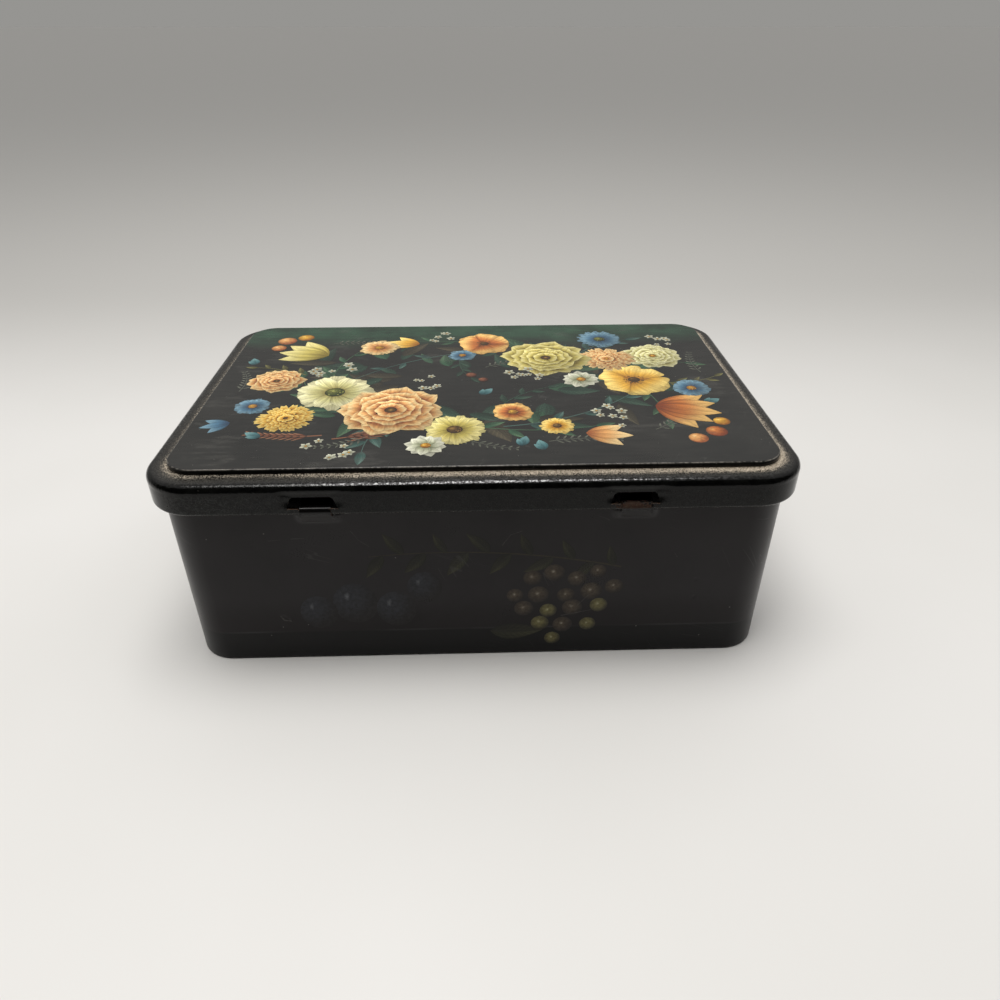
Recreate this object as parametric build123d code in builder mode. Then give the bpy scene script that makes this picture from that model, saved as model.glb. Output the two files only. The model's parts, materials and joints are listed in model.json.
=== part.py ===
"""Hinged tinplate box for recipe cards: a pressed lid, a wrapped body wall and a seamed bottom panel.

Millimetres, +Z up.  The origin is at the middle of the footprint, on the surface that the box
stands on.  +X runs along the long side, the box opens at the front (-Y) and is hinged at the back
(+Y).  Every wall is a section of bent sheet carried round a rectangle with turned corners.
"""

import os
from math import asin, atan2, cos, degrees, radians, sin, sqrt, tan

from build123d import *

# ---- Sheet ------------------------------------------------------------------------------------
sheet = 0.3  # thickness of the tinplate
cut_depth = 1.2 * sheet  # depth of a cut that goes through one wall and no further

# ---- Lid: one pressed sheet ---------------------------------------------------------------------
lid_length = 228.6  # over the skirt, along X (9 in)
lid_depth = 152.4  # over the skirt, along Y (6 in)
lid_corner_radius = 18.3  # plan radius of the skirt's corners
lid_edge_radius = 2.7  # rounding between the ledge and the skirt
skirt_drop = 11.7  # from the top of the ledge down to the bottom of the hem
ledge_width = 7.5  # from the skirt's face in to the raised panel
panel_rise = 2.3  # from the ledge up to the top of the panel
panel_edge_radius = 0.8  # rounding round the top of the raised panel
panel_foot_radius = 0.5  # hollow where the panel's side meets the ledge
hem_radius = 1.3  # the skirt's lower edge is rolled inwards to a tube of this radius
hem_turn = 310  # degrees that the hem is rolled through

# ---- Body: one strip wrapped round ----------------------------------------------------------------
body_height = 80.35  # from the table to the top of the rim
lid_side_gap = 1.17  # between the hem and the body wall
lid_rest_gap = 0.25  # between the rim and the underside of the ledge
rim_radius = 1.0  # the body's upper edge is rolled inwards to a tube of this radius
rim_turn = 300  # degrees that the rim is rolled through
foot_bend_radius = 0.6  # outer radius where the wall turns in to the foot
side_seam_width = 4.0  # flattened lock seam that closes the strip, inside one short side
side_seam_height = 0.6  # how far that seam stands in from the wall
side_groove_width = 0.4  # line that the seam leaves on the outside
side_groove_depth = 0.1

# ---- Bottom lock seam -------------------------------------------------------------------------------
seam_width = 3.5  # from the wall's outer face to the inner end of the folded seam
seam_clearance = 0.1  # between the layers of the seam

# ---- Hinges: tongues cut from the back wall, curled round the lid's hem -------------------------------
hinge_offset = 54.5  # centre of each hinge from the middle of the back
tongue_width = 10.4
tongue_root_drop = 5.5  # from the bottom of the hem down to the tongue's root
tongue_root_radius = 2.0  # bend where the tongue leaves the wall
tongue_curl = 235  # degrees that the tongue wraps round the hem
hinge_clearance = 0.08  # between the hem and the curled tongue
tongue_kerf = 0.2  # on each side of the tongue, in the hole that it leaves in the wall
window_foot_width = 18.0  # window in the skirt above the hem, where the tongue passes in
window_top_width = 14.0
window_height = 6.9  # top of the window above the bottom of the hem
window_corner_radius = 0.8

# ---- Sizes that follow ----------------------------------------------------------------------------
half = sheet / 2  # sections are drawn along the middle of the sheet

body_inset = 2 * hem_radius + lid_side_gap
body_length = lid_length - 2 * body_inset
body_depth = lid_depth - 2 * body_inset
body_corner_radius = lid_corner_radius - body_inset
body_back = body_depth / 2

ledge_top = body_height + lid_rest_gap + sheet
panel_top = ledge_top + panel_rise
skirt_bottom = ledge_top - skirt_drop
lid_back = lid_depth / 2
panel_side = lid_back - ledge_width

hinge_y = lid_back - hem_radius  # the lid turns about the middle of its hem
hinge_z = skirt_bottom + hem_radius
hinge_places = (-hinge_offset, hinge_offset)

layer = sheet + seam_clearance  # one layer of the bottom seam
wall_fold_y = body_back - seam_width + half + layer  # middle of the fold in the wall's edge
panel_fold_y = body_back - sheet - seam_clearance - half - layer  # and in the panel's edge
panel_z = half + 3 * layer  # middle of the bottom panel's sheet


def closed_path(length, depth, corner_radius):
    """Line round a rectangle with turned corners, from the middle of the back to itself."""
    start = Vector(0, depth / 2)
    with BuildLine() as path:
        side = Line(start, start - Vector(length / 2 - corner_radius, 0))
        for run in (depth, length, depth):
            turn = JernArc(side @ 1, side % 1, radius=corner_radius, arc_size=90)
            side = Line(turn @ 1, turn @ 1 + (turn % 1) * (run - 2 * corner_radius))
        turn = JernArc(side @ 1, side % 1, radius=corner_radius, arc_size=90)
        Line(turn @ 1, start)
    return path.line


def flat(height, inset, length, depth, corner_radius):
    """Flat of a panel: its outline stops the given inset inside the rounded rectangle."""
    with BuildSketch(Plane.XY.offset(height)) as outline:
        RectangleRounded(length - 2 * inset, depth - 2 * inset, corner_radius - inset)
    return outline.sketch


# ---- Lid ----------------------------------------------------------------------------------------
lid_outline = (lid_length, lid_depth, lid_corner_radius)
panel_edge_z = panel_top - half
flat_inset = ledge_width + 2 * panel_edge_radius  # the flat of the panel starts here

with BuildPart() as lid:
    with BuildSketch(Plane.YZ):
        with BuildLine():
            pressed = FilletPolyline(
                (lid_back - flat_inset, panel_edge_z),
                (panel_side - half, panel_edge_z),
                (panel_side - half, ledge_top - half),
                (lid_back - half, ledge_top - half),
                (lid_back - half, hinge_z),
                radius=(panel_edge_radius - half, panel_foot_radius + half, lid_edge_radius - half),
            )
            JernArc(pressed @ 1, (0, -1), radius=hem_radius - half, arc_size=-hem_turn)
        trace(line_width=sheet)
    sweep(path=closed_path(*lid_outline))
    extrude(flat(panel_top, flat_inset, *lid_outline), amount=-sheet)

    # windows in the skirt, from the hem up, which let the tongues in
    with BuildSketch(Plane.XZ.offset(-lid_back)):
        window_top = skirt_bottom + window_height
        for place in hinge_places:
            with BuildLine():
                Polyline(
                    (place - window_foot_width / 2, hinge_z),
                    (place - window_top_width / 2, window_top),
                    (place + window_top_width / 2, window_top),
                    (place + window_foot_width / 2, hinge_z),
                    close=True,
                )
            make_face()
        fillet(vertices().group_by(Axis.Y)[-1], window_corner_radius)
    extrude(amount=cut_depth, mode=Mode.SUBTRACT)

lid.part.label = "lid"

# ---- Body wall ------------------------------------------------------------------------------------
body_outline = (body_length, body_depth, body_corner_radius)
wall_middle = body_back - half

# the tongue leans out from the wall until it meets the curl round the hem
curl_radius = hem_radius + hinge_clearance + half
root_corner = Vector(wall_middle, skirt_bottom - tongue_root_drop)
reach = Vector(hinge_y, hinge_z) - root_corner
lean = atan2(reach.X, reach.Y) + asin(curl_radius / reach.length)
slope = Vector(sin(lean), cos(lean))
slope_length = sqrt(reach.length**2 - curl_radius**2)
root_z = root_corner.Y - tongue_root_radius * tan(lean / 2)  # where the bend starts
tongue_length = slope_length + curl_radius * radians(tongue_curl)

with BuildPart() as body_wall:
    with BuildSketch(Plane.YZ):
        with BuildLine():
            upright = FilletPolyline(
                (wall_middle, body_height - rim_radius),
                (wall_middle, half),
                (wall_fold_y, half),
                radius=foot_bend_radius - half,
            )
            JernArc(upright @ 0, (0, 1), radius=rim_radius - half, arc_size=rim_turn)
            fold = JernArc(upright @ 1, (-1, 0), radius=layer, arc_size=-180)
            Line(fold @ 1, (panel_fold_y, half + 2 * layer))
        trace(line_width=sheet)
    sweep(path=closed_path(*body_outline))

    # lock seam that closes the strip: a flattened ridge inside, a fine groove outside
    seam_foot = 3 * layer + sheet + seam_clearance
    seam_head = body_height - 2 * rim_radius
    with BuildSketch(Plane.YZ.offset(body_length / 2 - sheet)):
        with Locations((0, (seam_foot + seam_head) / 2)):
            Rectangle(side_seam_width, seam_head - seam_foot)
    extrude(amount=-side_seam_height)
    with BuildSketch(Plane.YZ.offset(body_length / 2)):
        with Locations((side_seam_width / 2, (foot_bend_radius + seam_head) / 2)):
            Rectangle(side_groove_width, seam_head - foot_bend_radius)
    extrude(amount=-side_groove_depth, mode=Mode.SUBTRACT)

    # holes that the tongues were cut from, hidden behind the skirt
    with BuildSketch(Plane.XZ.offset(-body_back)):
        with Locations([(place, root_z) for place in hinge_places]):
            Rectangle(
                tongue_width + 2 * tongue_kerf, tongue_length, align=(Align.CENTER, Align.MIN)
            )
    extrude(amount=cut_depth, mode=Mode.SUBTRACT)

    for place in hinge_places:
        with BuildSketch(Plane.YZ.offset(place)):
            with BuildLine():
                bend = JernArc(
                    (wall_middle, root_z), (0, 1), radius=tongue_root_radius, arc_size=-degrees(lean)
                )
                leaning = Line(bend @ 1, root_corner + slope * slope_length)
                JernArc(leaning @ 1, slope, radius=curl_radius, arc_size=tongue_curl)
            trace(line_width=sheet)
        extrude(amount=tongue_width / 2, both=True)

body_wall.part.label = "body_wall"

# ---- Bottom panel ---------------------------------------------------------------------------------
with BuildPart() as bottom_panel:
    with BuildSketch(Plane.YZ):
        with BuildLine():
            edge = Line((wall_fold_y, panel_z), (panel_fold_y, panel_z))
            fold = JernArc(edge @ 1, (1, 0), radius=layer, arc_size=-180)
            Line(fold @ 1, (wall_fold_y, panel_z - 2 * layer))
        trace(line_width=sheet)
    sweep(path=closed_path(*body_outline))
    extrude(flat(panel_z + half, body_back - wall_fold_y, *body_outline), amount=-sheet)

bottom_panel.part.label = "bottom_panel"

# ---- Files --------------------------------------------------------------------------------------
os.makedirs("parts", exist_ok=True)
for piece in (lid, body_wall, bottom_panel):
    export_step(piece.part, f"parts/{piece.part.label}.step")
    print(piece.part.label, piece.part.bounding_box().size)
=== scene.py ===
# %% [markdown]
# # A printed tin for recipe cards
#
# This lesson dresses a small hinged box of tinplate. On the bench it is three bent sheets: a pressed lid, a
# wall that was wrapped round and seamed, and a flat bottom that is folded into the wall's foot. Black
# lacquer, a printed bunch of flowers under varnish, and many years in a kitchen do the rest.
#
# The measured model comes first, as a fixed frame. Everything made below takes its place from that frame,
# in metres, with +Z up, the opening side at -Y and the hinges at +Y.

# %% The measured frame
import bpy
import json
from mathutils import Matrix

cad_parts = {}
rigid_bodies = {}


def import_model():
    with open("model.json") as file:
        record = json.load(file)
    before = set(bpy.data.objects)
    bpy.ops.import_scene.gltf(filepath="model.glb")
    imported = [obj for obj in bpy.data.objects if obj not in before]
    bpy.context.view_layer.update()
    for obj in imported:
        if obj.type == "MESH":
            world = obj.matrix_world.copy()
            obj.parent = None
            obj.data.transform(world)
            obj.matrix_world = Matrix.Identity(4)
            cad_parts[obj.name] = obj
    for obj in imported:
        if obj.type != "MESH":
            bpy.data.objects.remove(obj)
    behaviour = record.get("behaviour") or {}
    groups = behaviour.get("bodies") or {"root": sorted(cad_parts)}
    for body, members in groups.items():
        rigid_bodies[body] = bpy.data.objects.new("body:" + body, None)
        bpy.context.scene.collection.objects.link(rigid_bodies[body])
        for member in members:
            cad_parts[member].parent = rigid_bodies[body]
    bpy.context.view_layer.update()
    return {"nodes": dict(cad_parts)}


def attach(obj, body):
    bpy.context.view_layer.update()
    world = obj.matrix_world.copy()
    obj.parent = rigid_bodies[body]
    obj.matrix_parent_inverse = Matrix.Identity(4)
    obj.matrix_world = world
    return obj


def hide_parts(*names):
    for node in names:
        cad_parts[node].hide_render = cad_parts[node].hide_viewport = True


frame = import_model()

import json
from functools import reduce
from math import asin, atan2, ceil, cos, degrees, hypot, pi, radians, sin, sqrt, tan
from random import Random

import bmesh
import bpy
from mathutils import Vector

# %% [markdown]
# ## Sizes of the tin
#
# A tinsmith's drawing gives the section of each sheet and the outline that it follows. The same few numbers
# are written here in millimetres, because a sheet of 0.3 mm is easier to read that way. They only turn into
# metres when a mesh is made.

# %% Sizes of the tin
MM = 0.001
sheet = 0.3
half = sheet / 2  # sections are drawn along the middle of the sheet

lid_length, lid_depth, lid_corner = 228.6, 152.4, 18.3
lid_edge, ledge_width, panel_rise, panel_edge, panel_foot = 2.7, 7.5, 2.3, 0.8, 0.5
skirt_drop, hem_radius, hem_turn = 11.7, 1.3, 310
body_height, side_gap, rest_gap, rim_radius, rim_turn = 80.35, 1.17, 0.25, 1.0, 300
foot_bend, seam_width, seam_clearance = 0.6, 3.5, 0.1
hinge_offset, tongue_width, tongue_root_drop, tongue_bend = 54.5, 10.4, 5.5, 2.0
tongue_curl, hinge_clearance, tongue_kerf = 235, 0.08, 0.2
window_foot, window_head, window_height = 18.0, 14.0, 6.9

body_inset = 2 * hem_radius + side_gap
body_length, body_depth = lid_length - 2 * body_inset, lid_depth - 2 * body_inset
body_corner, body_back = lid_corner - body_inset, body_depth / 2
ledge_top = body_height + rest_gap + sheet
panel_top = ledge_top + panel_rise
skirt_bottom = ledge_top - skirt_drop
lid_back, hinge_z = lid_depth / 2, skirt_bottom + hem_radius
hinge_y = lid_back - hem_radius
hinges = (-hinge_offset, hinge_offset)
tongue_edge, window_edge = tongue_width / 2, window_foot / 2
slack = 0.01  # heights and places closer than this count as the same
print("panel at", round(panel_top, 2), "mm, skirt down to", round(skirt_bottom, 2), "mm")

# %% [markdown]
# ## Bending a sheet
#
# Real sheet is drawn as one line along its middle, with straight runs and bends. A small walker follows
# such a line: it goes forward, or turns round a circle, and drops a point with its sideways direction each
# time. Half a thickness to the left and right of those points gives both faces of the sheet, so the
# thickness is true everywhere, also inside a tight roll. A modifier that thickens a surface would be
# shorter to write, but it pinches in bends that are as tight as these.

# %% Walking along the section
def walk(start, heading, moves, fine):
    """Points along a bent sheet: (out, up, side_out, side_up, distance).

    A move is ("run", length, longest step) or ("turn", radius, degrees), and fine is the largest
    turn of one step in degrees.
    """
    out, up, angle, gone = start[0], start[1], radians(heading), 0.0
    points = [(out, up, -sin(angle), cos(angle), gone)]
    for kind, size, amount in moves:
        if kind == "run":
            steps = max(1, ceil(size / amount))
            for _ in range(steps):
                out += cos(angle) * size / steps
                up += sin(angle) * size / steps
                gone += size / steps
                points.append((out, up, -sin(angle), cos(angle), gone))
        else:
            steps = max(2, ceil(abs(amount) / fine))
            turn = radians(amount) / steps
            chord = 2 * size * sin(abs(turn) / 2)
            for _ in range(steps):
                angle += turn / 2
                out += cos(angle) * chord
                up += sin(angle) * chord
                gone += size * abs(turn)
                angle += turn / 2
                points.append((out, up, -sin(angle), cos(angle), gone))
    return points


def faces_of(points):
    """Both faces of the sheet along walked points, left side first: two lists of (out, up, distance)."""
    left = [(o + half * a, u + half * b, d) for o, u, a, b, d in points]
    right = [(o - half * a, u - half * b, d) for o, u, a, b, d in points]
    return left, right


lid_window_top = skirt_bottom + window_height
skirt_start = ledge_top - lid_edge
lid_walk = walk(
    (-ledge_width - 2 * panel_edge, panel_top - half), 0,
    [
        ("run", panel_edge, 0.4),
        ("turn", panel_edge - half, -90),
        ("run", panel_rise - panel_edge - panel_foot, 0.5),
        ("turn", panel_foot + half, 90),
        ("run", ledge_width - panel_foot - lid_edge, 0.6),
        ("turn", lid_edge - half, -90),
        ("run", skirt_start - lid_window_top, 0.6),
        ("run", lid_window_top - hinge_z, 0.7),
        ("turn", hem_radius - half, -hem_turn),
    ],
    fine=11.0,
)
print("lid section:", len(lid_walk), "points, last at", [round(v, 2) for v in lid_walk[-1][:2]])

# %% [markdown]
# ## Round the box
#
# Lid and wall are the same section carried round a rectangle with turned corners. A row of stations walks
# that outline once, each with the direction that points outwards there. A point of the section stands at
# its station, moved outwards by its own amount, so one rule serves the straight sides and the corners.
# Stations lie closer together near the hinges, where the windows are cut, and in the corners, which have to
# stay round.

# %% Stations round the outline
slot_edge = tongue_edge + tongue_kerf
seam_edge, groove_place = 2.0, 2.2  # the strip's seam and its groove, from the middle of the short side
near_hinge = (0.0, 1.3, 2.6, 3.9, tongue_edge, slot_edge, 6.3, 7.2, 8.1, window_edge, 10.0, 11.2, 12.6, 14.0)
near_seam = (seam_edge - 0.1, seam_edge, groove_place, groove_place + 0.2)
longest_step, corner_steps = 2.2, 18


def spaced(low, high, wanted, step):
    """Numbers from low to high that include the wanted ones and leave no gap over step."""
    marks = sorted({round(v, 4) for v in wanted if low < v < high} | {low, high})
    filled = []
    for a, b in zip(marks, marks[1:]):
        n = max(1, ceil((b - a) / step - 1e-6))
        filled += [a + (b - a) * i / n for i in range(n)]
    return filled


def outline(length, depth, corner):
    """Stations (x, y, out_x, out_y, gone) round a rectangle, from the middle of the back by way of -X."""
    wide, deep = length / 2 - corner, depth / 2 - corner
    hinge_marks = [c + side * v for c in hinges for v in near_hinge for side in (-1, 1)]
    seam_marks = [side * v for v in near_seam for side in (-1, 1)]

    def straight(low, high, marks=()):
        return spaced(low, high, marks, longest_step)

    def bend(cx, cy, start):
        turns = [radians(start + 90 * i / corner_steps) for i in range(corner_steps + 1)]
        return [(cx + corner * cos(a), cy + corner * sin(a), cos(a), sin(a)) for a in turns]

    runs = (
        [(x, depth / 2, 0, 1) for x in reversed(straight(-wide, 0, hinge_marks))],
        bend(-wide, deep, 90),
        [(-length / 2, y, -1, 0) for y in reversed(straight(-deep, deep))],
        bend(-wide, -deep, 180),
        [(x, -depth / 2, 0, -1) for x in straight(-wide, wide)],
        bend(wide, -deep, 270),
        [(length / 2, y, 1, 0) for y in straight(-deep, deep, seam_marks)],
        bend(wide, deep, 0),
        [(x, depth / 2, 0, 1) for x in reversed(straight(0, wide, hinge_marks))],
    )
    stations, gone = [], 0.0
    for x, y, a, b in (s for run in runs for s in run[:-1]):
        if stations:
            gone += hypot(x - stations[-1][0], y - stations[-1][1])
        stations.append((x, y, a, b, gone))
    return stations


lid_outline = outline(lid_length, lid_depth, lid_corner)
body_outline = outline(body_length, body_depth, body_corner)
print("stations round the lid:", len(lid_outline), "and round the body:", len(body_outline))

# %% [markdown]
# ## Sheet metal as a mesh
#
# The collector below takes points and faces of one piece and turns them into a mesh at the end. Each face
# knows which side of the sheet it is on, because the outside is lacquered and the inside is bare tinplate:
# 0 is the outside, 1 the inside and 2 a cut edge. Each corner also keeps two lengths in metres, round the
# box and along the section. Scratches and rolling marks follow those, as they follow the flat sheet before
# it is bent.

# %% Collecting a piece of sheet
OUTSIDE, INSIDE, CUT = 0, 1, 2
smooth_below = 38  # degrees between two faces, above which their edge stays sharp


def stand(name, data):
    """A new object in the scene that shows this mesh, lamp or camera."""
    made = bpy.data.objects.new(name, data)
    bpy.context.scene.collection.objects.link(made)
    return made


class SheetMesh:
    """Points, faces, sides and lengths along the flat sheet, in millimetres until it is made."""

    def __init__(self):
        self.points, self.faces, self.sides, self.flat = [], [], [], []

    def point(self, x, y, z):
        self.points.append((x * MM, y * MM, z * MM))
        return len(self.points) - 1

    def face(self, corners, side, flat):
        self.faces.append(corners)
        self.sides.append(side)
        self.flat.append([(u * MM, v * MM) for u, v in flat])

    def make(self, name, finishes):
        mesh = bpy.data.meshes.new(name)
        mesh.from_pydata(self.points, [], self.faces)
        mesh.polygons.foreach_set("material_index", self.sides)
        lengths = mesh.uv_layers.new(name="flat_sheet")
        lengths.data.foreach_set("uv", [v for face in self.flat for corner in face for v in corner])
        mesh.polygons.foreach_set("use_smooth", [True] * len(self.faces))
        turned = bmesh.new()
        turned.from_mesh(mesh)
        bmesh.ops.recalc_face_normals(turned, faces=turned.faces)
        turned.to_mesh(mesh)
        turned.free()
        mesh.set_sharp_from_angle(angle=radians(smooth_below))
        for finish in finishes:
            mesh.materials.append(finish)
        mesh.validate()
        print(f"{name}: {len(self.points)} points, {len(self.faces)} faces")
        return stand(name, mesh)


def nowhere(row, k):
    return False


def wrap(sheet_mesh, stations, outer, inner, shape, dropped, welded=nowhere):
    """Carries both faces of a section round the stations, with holes where cells are dropped.

    A hole gets a cut edge all round, but not where something is welded to it. Returns the numbers
    of the points and the function that closes an edge.
    """
    n, first, final = len(stations), stations[0], stations[-1]
    around = final[4] + hypot(first[0] - final[0], first[1] - final[1])
    grids = [
        [[sheet_mesh.point(*shape(s, o, u, r, side)) for s in stations] for r, (o, u, _) in enumerate(rows)]
        for side, rows in ((OUTSIDE, outer), (INSIDE, inner))
    ]

    def lengths(r, k):
        return (stations[k][4] if k < n else around, outer[r][2])

    def cut(r0, k0, r1, k1):
        corners = ((0, r0, k0), (0, r1, k1), (1, r1, k1), (1, r0, k0))
        ring = [grids[side][r][k % n] for side, r, k in corners]
        sheet_mesh.face(ring, CUT, [lengths(r, k) for _, r, k in corners])

    for r in range(len(outer) - 1):
        for k in range(n):
            if not dropped(r, k):
                for side in (OUTSIDE, INSIDE):
                    corners = ((r, k), (r, k + 1), (r + 1, k + 1), (r + 1, k))
                    ring = [grids[side][i][j % n] for i, j in corners]
                    sheet_mesh.face(ring, side, [lengths(i, j) for i, j in corners])
                continue
            if not dropped(r, (k - 1) % n):
                cut(r, k, r + 1, k)
            if not dropped(r, (k + 1) % n):
                cut(r, k + 1, r + 1, k + 1)
            if not dropped(r - 1, k) and not welded(r, k):
                cut(r, k, r, k + 1)
            if not dropped(r + 1, k) and not welded(r + 1, k):
                cut(r + 1, k, r + 1, k + 1)
    return grids, cut


def flat_cap(sheet_mesh, grids):
    """Fills both faces of the flat inside row 0, ring by ring towards the middle."""
    n, rings = len(grids[0][0]), 10

    def face(corners, side):
        sheet_mesh.face(corners, side, [[v / MM for v in sheet_mesh.points[c][:2]] for c in corners])

    for side in (OUTSIDE, INSIDE):
        before = grids[side][0]
        edge = [sheet_mesh.points[i] for i in before]
        middle = sheet_mesh.point(0, 0, edge[0][2] / MM)
        for ring in range(1, rings):
            share = 1 - ring / rings
            now = [sheet_mesh.point(x * share / MM, y * share / MM, z / MM) for x, y, z in edge]
            for k in range(n):
                face([before[k], before[(k + 1) % n], now[(k + 1) % n], now[k]], side)
            before = now
        for k in range(n):
            face([before[k], before[(k + 1) % n], middle], side)


print("the collector is ready; edges above", smooth_below, "degrees stay sharp")

# %% [markdown]
# ## The lid
#
# The lid is pressed from one sheet: raised panel, ledge, rounded edge and skirt, with the skirt's lower
# edge rolled inwards. The roll stiffens the edge and is the hinge pin as well. Two windows are cut in the
# skirt above it, where the hinge tongues come in.
#
# A boolean cut would make the windows, but it leaves long thin triangles that show as smears in black
# gloss. Here the grid itself leans along each window's slanting sides, and the cells between them are left
# out, so the skirt stays a clean grid. The punch pressed the metal over each window in a little and sat a
# millimetre to one side of the tongue. Both are smooth moves of the same points.

# %% Lid sheet
def smooth_step(value, low, high):
    """0 below low and 1 above high, with an S between."""
    t = min(1.0, max(0.0, (value - low) / (high - low)))
    return t * t * (3 - 2 * t)


def hump(value, rise, fall):
    """0 before the rise, 1 between rise and fall, and 0 after the fall."""
    return smooth_step(value, *rise) * (1 - smooth_step(value, *fall))


def near_window(x):
    """The nearer hinge's middle and how far x is from it."""
    middle = min(hinges, key=lambda c: abs(x - c))
    return middle, x - middle


window_lean, lean_ends = (window_foot - window_head) / window_foot, 14.0
window_slip, slip_ends = 0.9, (79.0, 80.5)
corner_in, corner_down = 0.34, 0.36  # the window's upper corners are cut a little round
dip_depth, dip_rise, dip_fall, dip_sides = 0.62, (71.6, 75.2), (76.4, 79.8), (7.5, 13.0)
lump_out, lump_up, lump_rise, lump_fall = 0.14, 0.12, (5.8, 6.8), (8.4, 10.4)
bar_top = hinge_z + 0.7


def window_moves(x, out, up):
    """The back of the lid: the windows' lean and slip, the dip over them and the uneven hem beside them."""
    middle, away = near_window(x)
    far = abs(away)
    hold = 1 - smooth_step(far, window_edge, lean_ends)
    if out > -1 and up > hinge_z - slack:
        rise = min(1.0, (up - hinge_z) / (lid_window_top - hinge_z))
        rise *= 1 - smooth_step(up, lid_window_top, skirt_start)
        slip = hump(up, (bar_top, bar_top + 0.8), slip_ends)
        x = middle + away * (1 - window_lean * rise * hold) + window_slip * slip * hold
        if abs(far - window_edge) < slack and abs(up - lid_window_top) < 0.3:
            x -= corner_in if away > 0 else -corner_in
            up -= corner_down
        out -= dip_depth * (hump(up, dip_rise, dip_fall) * (1 - smooth_step(far, *dip_sides)))
    lump = hump(far, lump_rise, lump_fall) * (1 - smooth_step(up, bar_top - 0.4, bar_top + 2.4))
    out += lump_out * lump * sin(1.9 * x) * smooth_step(out, -1.3, 0.0)
    return x, out, up + lump_up * lump * sin(2.7 * x + 1)


def lid_shape(station, out, up, row, side):
    """Where a point of the lid's section goes."""
    x, y, a, b, _ = station
    if b == 1 and y > 0 and out > -3.0:
        x, out, up = window_moves(x, out, up)
    return x + a * out, y + b * out, up


def in_window(r, k):
    """Cells that the punch takes out.

    They go down to the hinge line for the tongue, and to the top of the roll beside it.
    """
    x, _, _, b, _ = lid_outline[k % len(lid_outline)]
    x_next = lid_outline[(k + 1) % len(lid_outline)][0]
    away = abs(near_window((x + x_next) / 2)[1])
    if not 0 <= r < len(lid_walk) - 1 or b != 1 or away > window_edge or lid_walk[r][0] < -1:
        return False
    foot = hinge_z if away < slot_edge else bar_top
    return foot - slack <= lid_walk[r + 1][1] and lid_walk[r][1] <= lid_window_top + slack


lid_tin = SheetMesh()
lid_outer, lid_inner = faces_of(lid_walk)
lid_grids, lid_cut = wrap(lid_tin, lid_outline, lid_outer, lid_inner, lid_shape, in_window)
flat_cap(lid_tin, lid_grids)
last_row = len(lid_walk) - 1
for k in range(len(lid_outline)):
    lid_cut(last_row, k, last_row, k + 1)
print("lid sheet:", len(lid_tin.points), "points and", len(lid_tin.faces), "faces")

# %% [markdown]
# ## The body wall
#
# One strip goes round the box. Its top is rolled inwards to a safe rim, its foot is turned in and folded
# round the bottom's edge, and the strip's own ends meet in a flattened seam inside one short side. At the
# back two tongues are cut from the wall itself. Each leans out under the skirt, passes outside the lid's
# rolled edge and curls back over it through a window. The hole that a tongue leaves is hidden behind the
# skirt.
#
# The tongue could be a separate strip pushed against the wall, but then light would show a line at its
# root. On the real sheet the wall is first drawn out to a soft bulge and only slit above it. So the wall's
# own grid bulges here, and the tongue's first row of points is the wall's row at the top of the bulge.

# %% Wall sheet
curl_radius = hem_radius + hinge_clearance + half
reach = (hinge_y - (body_back - half), hinge_z - (skirt_bottom - tongue_root_drop))
lean = atan2(*reach) + asin(curl_radius / hypot(*reach))
slope_run = sqrt(hypot(*reach) ** 2 - curl_radius**2)
root_z = skirt_bottom - tongue_root_drop - tongue_bend * tan(lean / 2)
hole_top = root_z + slope_run + curl_radius * radians(tongue_curl)
slit_drop = 0.75  # from the skirt's lower edge down to the slit's foot
slit_z = skirt_bottom - slit_drop
slope_start = (tongue_bend * (1 - cos(lean)), root_z + tongue_bend * sin(lean))
slit_out = slope_start[0] + (slit_z - slope_start[1]) * tan(lean)
print("tongue leans", round(degrees(lean), 1), "degrees and is", round(slit_out, 2), "mm out at the slit")
print("slit from", round(slit_z, 2), "mm up to", round(hole_top, 2), "mm")

layer = sheet + seam_clearance
wall_fold = body_back - seam_width + half + layer
foot_run = (body_back - foot_bend) - wall_fold
fold_run = (body_back - sheet - seam_clearance - half - layer) - wall_fold
bulge_lead = 0.6  # the fine rows start this far under the bulge
rim_walk = walk((-half, body_height - rim_radius), 90, [("turn", rim_radius - half, rim_turn)], fine=20)
down_walk = walk(
    (-half, body_height - rim_radius), -90,
    [
        ("run", body_height - rim_radius - hole_top, 1.6),
        ("run", hole_top - slit_z, 1.2),
        ("run", slit_z - root_z + bulge_lead, 0.5),
        ("run", root_z - bulge_lead - foot_bend, 2.4),
        ("turn", foot_bend - half, -90),
        ("run", foot_run, 0.8),
        ("turn", layer, -180),
        ("run", fold_run, 1.2),
    ],
    fine=22,
)
wall_walk = [(o, u, -a, -b, -d) for o, u, a, b, d in reversed(rim_walk)][:-1] + down_walk
wall_outer, wall_inner = faces_of(wall_walk)
hole_rows = [
    r for r, (out, up, *_) in enumerate(wall_walk)
    if out > -0.2 and slit_z - slack < up < hole_top + slack
]
root_row = hole_rows[-1]

bulge_side, bulge_fade = 3.4, 1.6  # how far the bulge runs out beside the tongue and next to the slit
sprung_back = 0.65  # share of the bulge that the wall loses beside the slit
seam_height, groove_depth = 0.6, 0.12


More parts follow.
